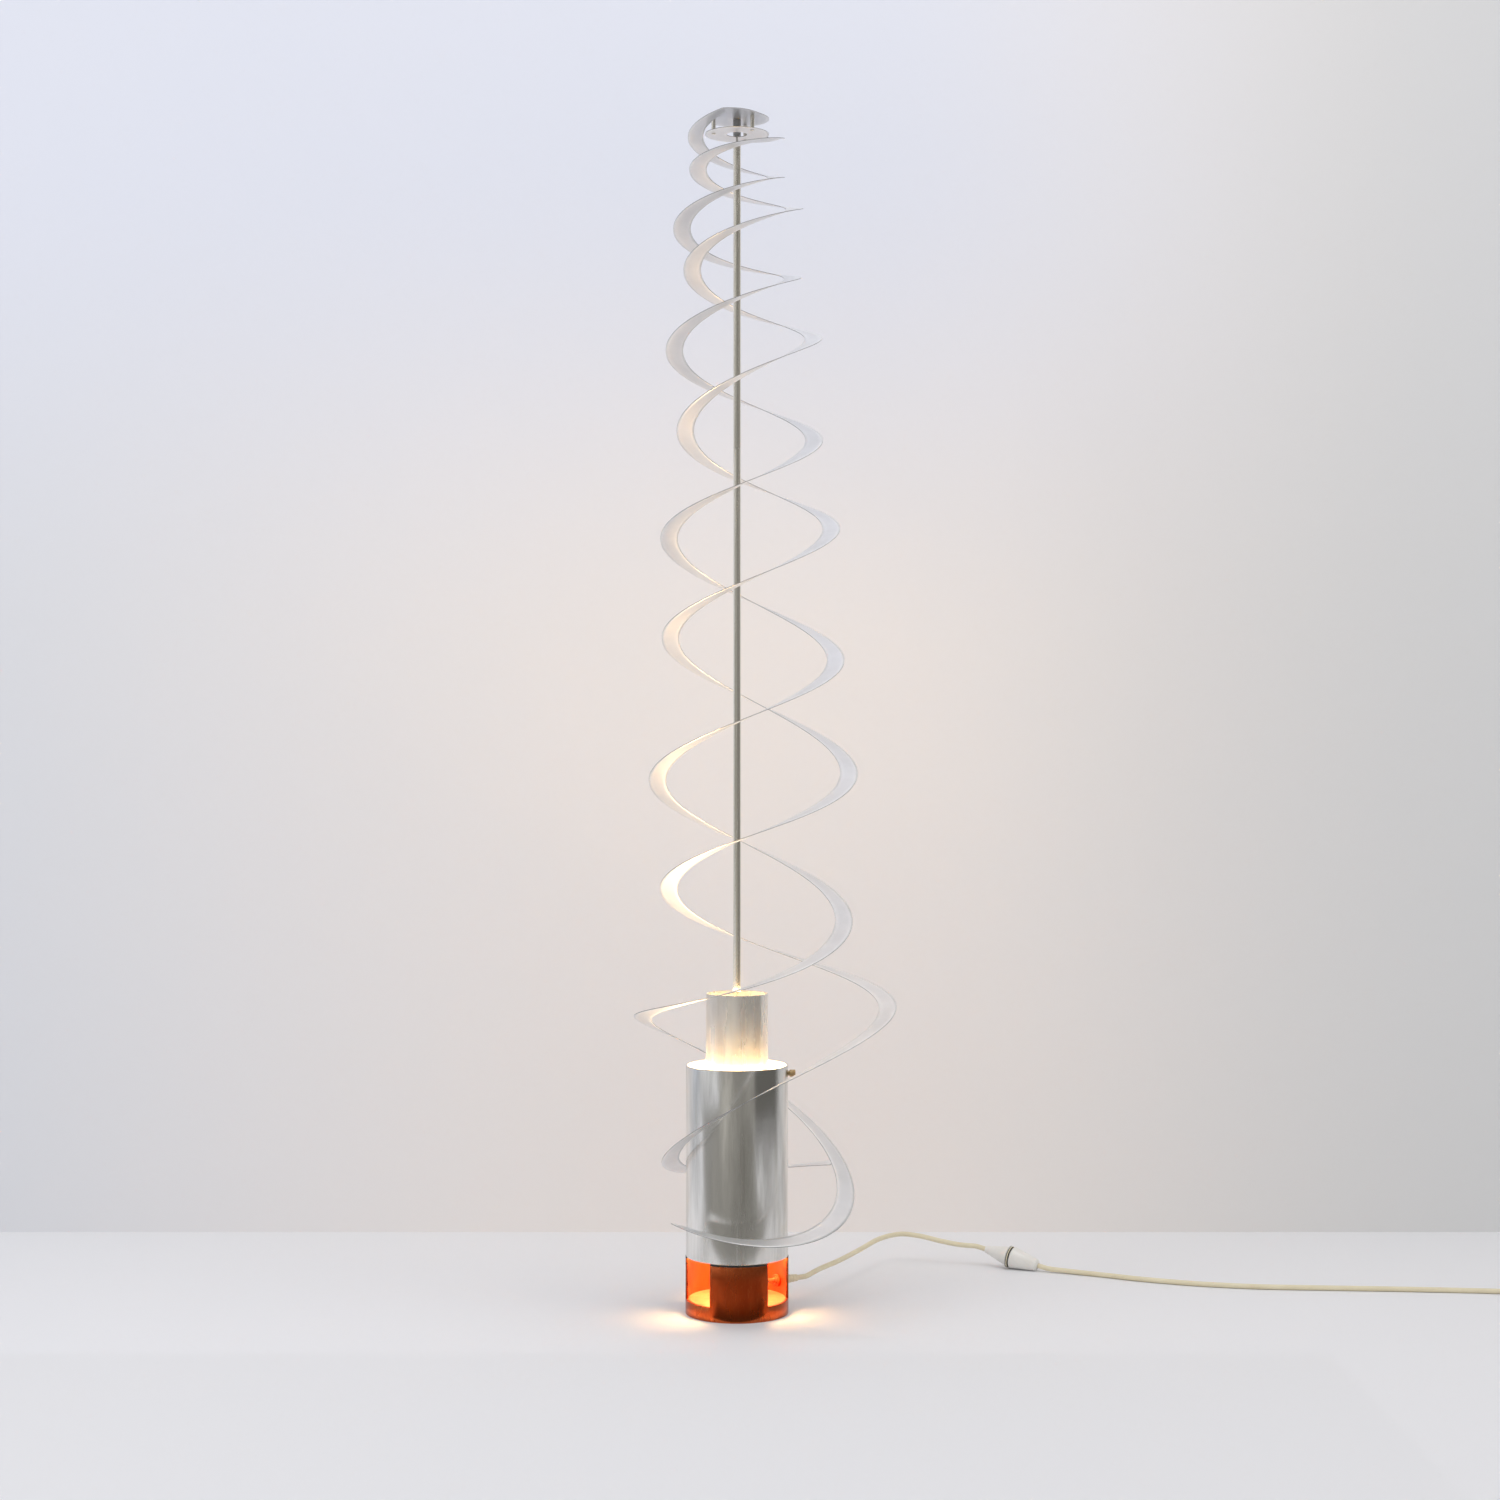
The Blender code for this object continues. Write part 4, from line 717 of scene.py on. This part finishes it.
def hangingSheet(name, form):
    # flat: x = r sin a, y = -r cos a with r falling inwards across the strip and the angle turning by
    # the share of the turns; hung: z = top - drop(share) + slopes across, and x leans by the share
    columns = strip["columns"]
    inset = np.linspace(0, 1, columns)[None, :]
    rows = round(form["turns"] * strip["rowsPerTurn"]) + 1
    share = np.linspace(0, 1, rows)[:, None]
    outer = form["reach"] * spread(form["radii"], share)
    inner = np.maximum(outer - strip["width"], strip["hub"] + strip["slit"] * (share > 0))
    inner[0] = strip["hub"]
    flat = around(form["slit"] - fullTurn * form["turns"] * share, outer + (inner - outer) * inset, 0.0)
    slope = spread(form["sideSlopes"], share) * flat[..., 0]
    slope = slope + spread(form["frontSlopes"], share) * flat[..., 1]
    drop = form["height"] - form["endHeight"]
    flat[..., 2] = form["height"] - drop * spread(form["drops"], share) + slope
    flat[..., 0] += form["lean"] * spread(form["leans"], share)
    turn = form["slit"] + np.linspace(0, fullTurn, strip["rim"], endpoint=False)[:, None]
    disc = around(turn, np.linspace(form["hole"], strip["hub"], 9)[None, :], form["height"])
    step = np.arange(strip["flare"] + 1)[:, None]
    reach = (1 + np.cos(math.pi * step / strip["flare"])) / 2
    root = form["reach"] * form["radii"][0]
    widest = strip["hub"] + (root - strip["hub"]) * reach
    flare = around(form["slit"] + fullTurn * step / strip["rim"],
                   widest + (strip["hub"] - widest) * inset, form["height"])
    patches = [(flat, gridFaces(rows, columns)), (disc, gridFaces(strip["rim"], 9, True)),
               (flare, gridFaces(strip["flare"] + 1, columns))]
    piece = surface(name, patches, made["thinSheet"], "rotor")
    wall = piece.modifiers.new("sheet", "SOLIDIFY")
    wall.thickness = strip["sheet"]
    wall.offset = 0
    wall.use_even_offset = False
    piece.data.materials.append(made["sheetEdge"])  # the cut edge is rougher than the sheet's faces and painted dark grey: painted shade that draws the sheet's thin dark edges
    wall.material_offset_rim = 1
    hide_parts(form["node"])
    return piece


for name, form in spirals.items():
    hangingSheet(name, form)
print("spirals hung")

# turned pieces on the rod's axis

turnedPieces = {
    "mainTube": {
        "node": "main_tube", "finish": "tubeMetal", "slot": "aluminium", "closed": True, "segments": 224,
        "reach": 0.0005, "inside": ("tubeInside", 0.0588),
        "outline": [(0.060, 0.0670), (0.060, 0.121), (0.060, 0.175), (0.060, 0.231), (0.060, 0.291),
                    (0.058, 0.291), (0.058, 0.231), (0.058, 0.175), (0.058, 0.121), (0.058, 0.0670)],
    },
    "chimneyTube": {
        "node": "chimney_tube", "finish": "chimneyMetal", "slot": "aluminium", "closed": True,
        "segments": 160,
        "outline": [(0.0363, 0.2250), (0.0363, 0.275), (0.0363, 0.325), (0.0363, 0.375),
                    (0.0351, 0.375), (0.0351, 0.325), (0.0351, 0.275), (0.0351, 0.2250)],
    },
    "rodLower": {
        "node": "rod_lower", "finish": "rodMetal", "slot": "aluminium", "segments": 48, "reach": 0.0005,
        "outline": [(0, 1.01485), (0.0045, 1.01485), (0.0045, 0.70), (0.0045, 0.35), (0.0045, 0.0043),
                    (0, 0.0043)],
    },
    "rodUpper": {
        "node": "rod_upper", "finish": "rodMetal", "slot": "aluminium", "segments": 48, "reach": 0.0005,
        "outline": [(0, 1.374), (0.0045, 1.374), (0.0045, 1.20), (0.0045, 1.01515), (0, 1.01515)],
    },
    "needlePiece": {
        "node": "needle", "finish": "plainSteel", "slot": "steel", "segments": 24, "reach": 0.0001,
        "outline": [(0, 1.3981), (0.0004, 1.3967), (0.0012, 1.3941), (0.0012, 1.3643), (0, 1.3643)],
    },
    "bearingBush": {
        "node": "bearing_bush", "finish": "greyPlastic", "slot": "black_plastic", "body": "rotor",
        "segments": 48, "reach": 0.0004,
        "outline": [(0, 1.4054), (0.0018, 1.4054), (0.0036, 1.4045), (0.0036, 1.4036), (0.0022, 1.4036),
                    (0.0022, 1.4024), (0.0045, 1.4024), (0.0045, 1.383), (0.0025, 1.383), (0.0025, 1.3954),
                    (0, 1.3984)],
    },
    "rodWasher": {
        "node": "rod_washer", "finish": "plainSteel", "slot": "steel", "closed": True,
        "outline": [(0.010, 0.0173), (0.010, 0.0188), (0.0048, 0.0188), (0.0048, 0.0173)],
    },
    "rodCollar": {
        "node": "rod_collar", "finish": "plainSteel", "slot": "steel", "closed": True,
        "outline": [(0.010, 0.0617), (0.010, 0.0697), (0.0048, 0.0697), (0.0048, 0.0617)],
    },
}


thumb = {
    "height": 0.281, "lobes": 12, "lobeDepth": 0.09, "knobStart": 0.06175,
    "outline": [(0, 0.0688), (0.0026, 0.0688), (0.0042, 0.0684), (0.0042, 0.0665), (0.0042, 0.0640),
                (0.0042, 0.0621), (0.0036, 0.0618), (0.0030, 0.0617), (0.0030, 0.0603), (0.0020, 0.0603),
                (0.0020, 0.0475), (0, 0.0474)],
}


def thumbScrew():
    # a screw with a neck and a knob whose radius swings between its lobes
    lobes = (thumb["lobes"], thumb["lobeDepth"], thumb["knobStart"])
    return turned(
        "thumbScrew", "thumb_screw", "plainBrass", "brass", thumb["outline"], body="thumb_screw",
        reach=0.0002, segments=120, place=(0, 0, thumb["height"]), axis=rightward, lobes=lobes
    )


for name, form in turnedPieces.items():
    way = {key: form[key] for key in ("closed", "segments", "reach", "body") if key in form}
    piece = turned(name, form["node"], form["finish"], form["slot"], form["outline"], **way)
    if "inside" in form:  # faces nearer the axis than the middle of the wall take a lighter, matt copy of the metal: painted light of the lamps' glow inside the tube
        paint(piece, form["inside"][0], np.hypot(*faceCentres(piece)[:, :2].T) < form["inside"][1])
thumbScrew()

posts = {
    "radius": 0.028, "firstAngle": math.radians(40), "count": 3,
    "outline": [(0, 1.4044), (0.0014, 1.4044), (0.0025, 1.4039), (0.0025, 1.4036), (0.0012, 1.4036),
                (0.0012, 1.4024), (0.0025, 1.4024), (0.0025, 1.3856), (0.0012, 1.3856), (0.0012, 1.3844),
                (0.0025, 1.3844), (0.0025, 1.3841), (0.0014, 1.3836), (0, 1.3836)],
}
for number in range(posts["count"]):
    place = around(posts["firstAngle"] + number * fullTurn / posts["count"], posts["radius"], 0.0)
    turned(
        f"hubPost{number + 1}", f"hub_post_{number + 1}", "rodMetal", "steel", posts["outline"],
        body="rotor", reach=0.0002, segments=32, place=tuple(place.tolist()),
    )
print("turned pieces made")

# lamps

lamps = {
    "angles": {"front": 2.8, "right": 122.8, "left": -117.2}, "circle": 0.032,
    "holder": [(0.0135, 0.1063), (0.0135, 0.0783), (0.0131, 0.0770), (0.011, 0.0723), (0.0047, 0.0723),
               (0.0047, 0.0605), (0.0025, 0.0605), (0.0025, 0.0783), (0.0073, 0.0783), (0.0073, 0.1063)],
    "cap": [(0, 0.0976), (0.0058, 0.0976), (0.0058, 0.1056), (0.007, 0.1056), (0.007, 0.0822),
            (0.0035, 0.0786), (0, 0.0786)],
    "bulb": [(0, 0.1819), (0.0009, 0.1819), (0.0035, 0.1817), (0.00875, 0.1799), (0.0145, 0.1668),
             (0.0168, 0.1517), (0.0175, 0.1399), (0.0170, 0.1300), (0.01575, 0.1223), (0.01015, 0.1130),
             (0.0055, 0.1056), (0.0055, 0.0979), (0, 0.0979)],
}
for side, angle in lamps["angles"].items():
    place = tuple(around(math.radians(angle), lamps["circle"], 0.0).tolist())
    name = side.capitalize()
    turned(f"lampHolder{name}", f"lampholder_{side}", "glazedCeramic", "ceramic", lamps["holder"],
           closed=True, reach=0.0009, place=place)
    turned(f"bulbCap{name}", f"bulb_cap_{side}", "plainBrass", "brass", lamps["cap"],
           reach=0.0004, segments=48, place=place)
    turned(f"bulb{name}", f"bulb_{side}", "frostedGlass", "bulb_glass", lamps["bulb"],
           reach=0.004, place=place)

wire = {"radius": 0.0011, "spacing": 0.0012, "corners": 12}
wires = {
    "lamp_wire_front": ((0.0016, -0.0320, 0.0602), (0.0016, -0.0320, 0.0580), (0.0110, -0.0269, 0.0550),
                        (0.0152, -0.0208, 0.0620), (0.0162, -0.0173, 0.0740), (0.0123, -0.0153, 0.0773),
                        (0.0096, -0.0139, 0.0773)),
    "lamp_wire_right": ((0.0269, 0.0173, 0.0602), (0.0269, 0.0173, 0.0580), (0.0283, 0.0067, 0.0550),
                        (0.0250, -0.0017, 0.0620), (0.0229, -0.0043, 0.0740), (0.0190, -0.0023, 0.0773),
                        (0.0163, -0.0010, 0.0773)),
    "lamp_wire_left": ((-0.0285, 0.0146, 0.0602), (-0.0285, 0.0146, 0.0580), (-0.0190, -0.0061, 0.0550),
                       (-0.0035, -0.0151, 0.0545), (0.0103, -0.0164, 0.0571), (0.0147, -0.0148, 0.0655),
                       (0.0175, -0.0148, 0.0740), (0.0136, -0.0128, 0.0773), (0.0109, -0.0115, 0.0773)),
    "supply_core_a": ((0.0373, 0.0223, 0.0310), (0.0317, 0.0187, 0.0310), (0.0298, 0.0025, 0.0440),
                      (0.0269, -0.0083, 0.0605), (0.0191, -0.0118, 0.0740), (0.0151, -0.0098, 0.0773),
                      (0.0125, -0.0084, 0.0773)),
    "supply_core_b": ((0.0357, 0.0247, 0.0310), (0.0302, 0.0211, 0.0310), (0.0269, 0.0029, 0.0440),
                      (0.0264, -0.0055, 0.0605), (0.0207, -0.0086, 0.0740), (0.0168, -0.0066, 0.0773),
                      (0.0141, -0.0052, 0.0773)),
}
for node, route in wires.items():
    name = "".join(word.capitalize() for word in node.split("_"))
    patch = sweptPatch(smoothPath(route, wire["spacing"]), wire["radius"], wire["corners"])
    piece = surface(name[0].lower() + name[1:], [patch], made["blackPlastic"], "base")
    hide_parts(node)
leadEnds = [around(cord["glandAngle"], reach, cord["glandHeight"]) for reach in cord["leadReaches"]]
patch = sweptPatch(np.linspace(*leadEnds, 17), cord["radius"], 20)
innerLead = surface("innerLead", [patch], made["heatSleeve"], "base")
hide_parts("inner_lead")
print("lamps and wiring made")

# copper base ring: band, three pillars, three windows

ring = {"radius": 0.0605, "wall": 0.003, "band": 0.017, "top": 0.0645, "start": math.radians(2.8 - 34),
        "rows": (0.033, 0.049), "pillarCells": 68, "windowCells": 52, "edge": 0.00035, "sharpAngle": 40}


def baseRing():
    # a cylinder in cells of one degree; above the band the cells of the three windows are left out
    turn = ring["start"] + np.radians(np.arange(360))[:, None]
    heights = np.array([0, ring["band"] / 2, ring["band"], *ring["rows"], ring["top"]])
    points = around(turn, ring["radius"], heights[None, :])
    faces = gridFaces(360, len(heights), True).reshape(360, len(heights) - 1, 4)
    pillar = np.arange(360) % (ring["pillarCells"] + ring["windowCells"]) < ring["pillarCells"]
    keep = pillar[:, None] | (np.arange(len(heights) - 1) < 2)[None, :]
    patch = (points, faces[keep])
    piece = surface("baseRing", [patch], made["copper"], "base", sharpAngle=ring["sharpAngle"])
    data = piece.data
    outward = sum(float(np.dot(p.normal[:2], p.center[:2])) for p in list(data.polygons)[:8])
    wall = piece.modifiers.new("wall", "SOLIDIFY")
    wall.thickness = ring["wall"]
    wall.offset = -1 if outward > 0 else 1
    # the inside faces take the lighter copy of the copper: painted lamp light
    data.materials.append(made["copperInside"])
    wall.material_offset = 1
    edge = piece.modifiers.new("edge", "BEVEL")
    edge.width = ring["edge"]
    edge.segments = 2
    edge.limit_method = "ANGLE"
    edge.angle_limit = math.radians(ring["sharpAngle"])
    edge.harden_normals = False
    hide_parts("base_ring")


baseRing()
floorOutline = [(0.0572, 0.0140), (0.0572, 0.0170), (0.040, 0.0170), (0.0048, 0.0170), (0.0048, 0.0140),
                (0.040, 0.0140)]
# the floor disc inside the base takes the lit copy of the copper: painted lamp light
turned("baseFloor", "base_floor", "copperFloor", "copper", floorOutline, closed=True, segments=160)
print("base made")

# stage: pale floor and wall, cards that only gloss sees, and the lights

stage = {
    "floorColour": (0.80, 0.80, 0.82), "wallPlace": 0.488, "size": 9.0,
    # the wall's colours are painted light: uneven room light and a warm glow in the middle
    "wallColours": ((0.655, 0.69, 0.75), (0.86, 0.805, 0.77), (0.67, 0.67, 0.67)),
    "wallReach": (-1.7, 0.1, 1.1),
    "wallTop": (0.72, 0.74, 0.82), "topHeights": (0.75, 1.5), "topFade": (0.15, 0.9, 1.0, 0.1),
    "worldLight": (0.72, 0.72, 0.7272), "worldSeen": (0.74, 0.75, 0.77),
}
cards = {
    "radius": 1.25, "columns": 40, "tint": (1.03, 1.0, 0.93),
    "levels": {"low": (0.002, 0.42), "high": (0.42, 2.3)},
    "round": {
        "cardLeft": (-37, -6, "low", 0.44), "cardMiddle": (-6, 40, "low", 0.28),
        "cardRight": (40, 101, "low", 0.11), "cardHighLeft": (-84, 5, "high", 0.26),
        "cardHighRight": (5, 106, "high", 0.16),
    },
    "flat": {
        "cardFloor": (0.26, 0.001, ((-2, -3), (0.65, -3), (0.65, -0.2), (-2, -0.2))),
        # a painted reflection of the shade on the floor just in front of the base
        "cardNear": (0.10, 0.0008, ((-0.100, -0.13), (0.170, -0.13), (0.060, -0.062), (-0.042, -0.062))),
    },
}
oneFace = [(0, 1, 2, 3)]


def stageMaterial(name, colour, fromFrontOnly=False):
    material = bpy.data.materials.new(name)
    material.use_nodes = True
    tree = material.node_tree
    shader = tree.nodes["Principled BSDF"]
    shader.inputs["Base Color"].default_value = (*colour, 1)
    shader.inputs["Roughness"].default_value = 0.6
    shader.inputs["Specular IOR Level"].default_value = 0.2
    if fromFrontOnly:  # painted light on the wall: cool on the left, a warm glow in the middle, grey on the right, cool again high up
        smooth = {"interpolation_type": "SMOOTHSTEP"}
        place = tree.nodes.new("ShaderNodeTexCoord").outputs["Object"]
        spot = put(tree, "ShaderNodeSeparateXYZ", {"Vector": place}).outputs
        reach = stage["wallReach"]
        for start, end, second in zip(reach, reach[1:], stage["wallColours"][1:]):
            colour = blended(tree, ranged(tree, spot["X"], start, end, **smooth), colour, second)
        high = ranged(tree, spot["Z"], *stage["topHeights"], **smooth)
        fade = ranged(tree, spot["X"], *stage["topFade"], **smooth)
        colour = blended(tree, calculated(tree, "MULTIPLY", high, fade), colour, stage["wallTop"])
        tree.links.new(colour, shader.inputs["Base Color"])
        back = tree.nodes.new("ShaderNodeNewGeometry").outputs["Backfacing"]
        clear = tree.nodes.new("ShaderNodeBsdfTransparent")
        mix = put(tree, "ShaderNodeMixShader", {0: back, 1: shader.outputs[0], 2: clear.outputs[0]})
        tree.links.new(mix.outputs[0], tree.nodes["Material Output"].inputs["Surface"])
    return material


def stagePiece(name, points, faces, material):
    mesh = bpy.data.meshes.new(name)
    mesh.from_pydata(points, [], faces)
    mesh.materials.append(material)
    piece = bpy.data.objects.new(name, mesh)
    bpy.context.scene.collection.objects.link(piece)
    return piece


def mirrorCard(name, points, faces, tone):
    # an even tone that only gloss sees, a painted reflection: it stands for the dim room round the object,
    # and the card near the base for the shade on the floor there
    material = bpy.data.materials.new(name)
    material.use_nodes = True
    tree = material.node_tree
    colour = (*(tone * share for share in cards["tint"]), 1)
    glow = put(tree, "ShaderNodeEmission", {"Color": colour, "Strength": 1.0})
    tree.links.new(glow.outputs[0], tree.nodes["Material Output"].inputs["Surface"])
    card = stagePiece(name, points, faces, material)
    card.visible_camera = card.visible_diffuse = card.visible_shadow = False
    card.visible_transmission = card.visible_volume_scatter = False


wide, wallY = stage["size"], stage["wallPlace"]
stagePiece("floor", [(-wide, -wide, 0), (wide, -wide, 0), (wide, wide, 0), (-wide, wide, 0)], oneFace,
           stageMaterial("paleFloor", stage["floorColour"]))
stagePiece("wall", [(-wide, wallY, 0), (wide, wallY, 0), (wide, wallY, wide), (-wide, wallY, wide)], oneFace,
           stageMaterial("paleWall", stage["wallColours"][0], fromFrontOnly=True))
for name, (start, end, level, tone) in cards["round"].items():
    turn = np.radians(np.linspace(start, end, cards["columns"]))[:, None]
    points = around(turn, cards["radius"], np.array(cards["levels"][level])[None, :])
    mirrorCard(name, points.reshape(-1, 3).tolist(), gridFaces(cards["columns"], 2).tolist(), tone)
for name, (tone, height, corners) in cards["flat"].items():
    mirrorCard(name, [(*corner, height) for corner in corners], oneFace, tone)

world = bpy.data.worlds.new("paleRoom")
bpy.context.scene.world = world
world.use_nodes = True
tree = world.node_tree
background = tree.nodes["Background"]
path = tree.nodes.new("ShaderNodeLightPath")
seen = calculated(tree, "MAXIMUM", path.outputs["Is Camera Ray"], path.outputs["Is Glossy Ray"])
seen = calculated(tree, "MAXIMUM", seen, path.outputs["Is Transmission Ray"])
colour = blended(tree, seen, stage["worldLight"], stage["worldSeen"])
tree.links.new(colour, background.inputs["Color"])

lights = {
    "tubeGlow": {
        "place": (0, 0, 0.266), "aim": (0, 0, 1), "size": 0.114, "power": 2.3, "colour": (1.0, 0.70, 0.36),
    },
    "chimneyGlow": {
        "place": (0, 0, 0.377), "aim": (0, 0, 1), "size": 0.066, "power": 0.09, "colour": (1.0, 0.70, 0.38),
    },
    "softLeft": {"place": (-2.0, -1.3, 2.0), "size": 1.6, "power": 16, "colour": (0.96, 0.98, 1.0)},
    "softTop": {"place": (0.3, -0.6, 2.9), "size": 1.8, "power": 14, "colour": (1.0, 0.99, 0.97)},
    "softRight": {"place": (2.2, -1.0, 1.5), "size": 1.2, "power": 5, "colour": (1.0, 0.97, 0.93)},
}
for name, form in lights.items():
    # a new light can't be seen by the camera, so none shows in any view
    light = bpy.data.lights.new(name, "AREA")
    light.shape = "DISK"
    light.size = form["size"]
    light.energy = form["power"]
    light.color = form["colour"]
    holder = bpy.data.objects.new(name, light)
    holder.location = form["place"]
    aim = np.array(form.get("aim", (0, 0, 0.5))) - form["place"]
    holder.rotation_euler = (math.atan2(math.hypot(aim[0], aim[1]), -aim[2]), 0, math.atan2(-aim[0], aim[1]))
    bpy.context.scene.collection.objects.link(holder)

bpy.context.scene.view_settings.view_transform = "Standard"
print("stage and light set")
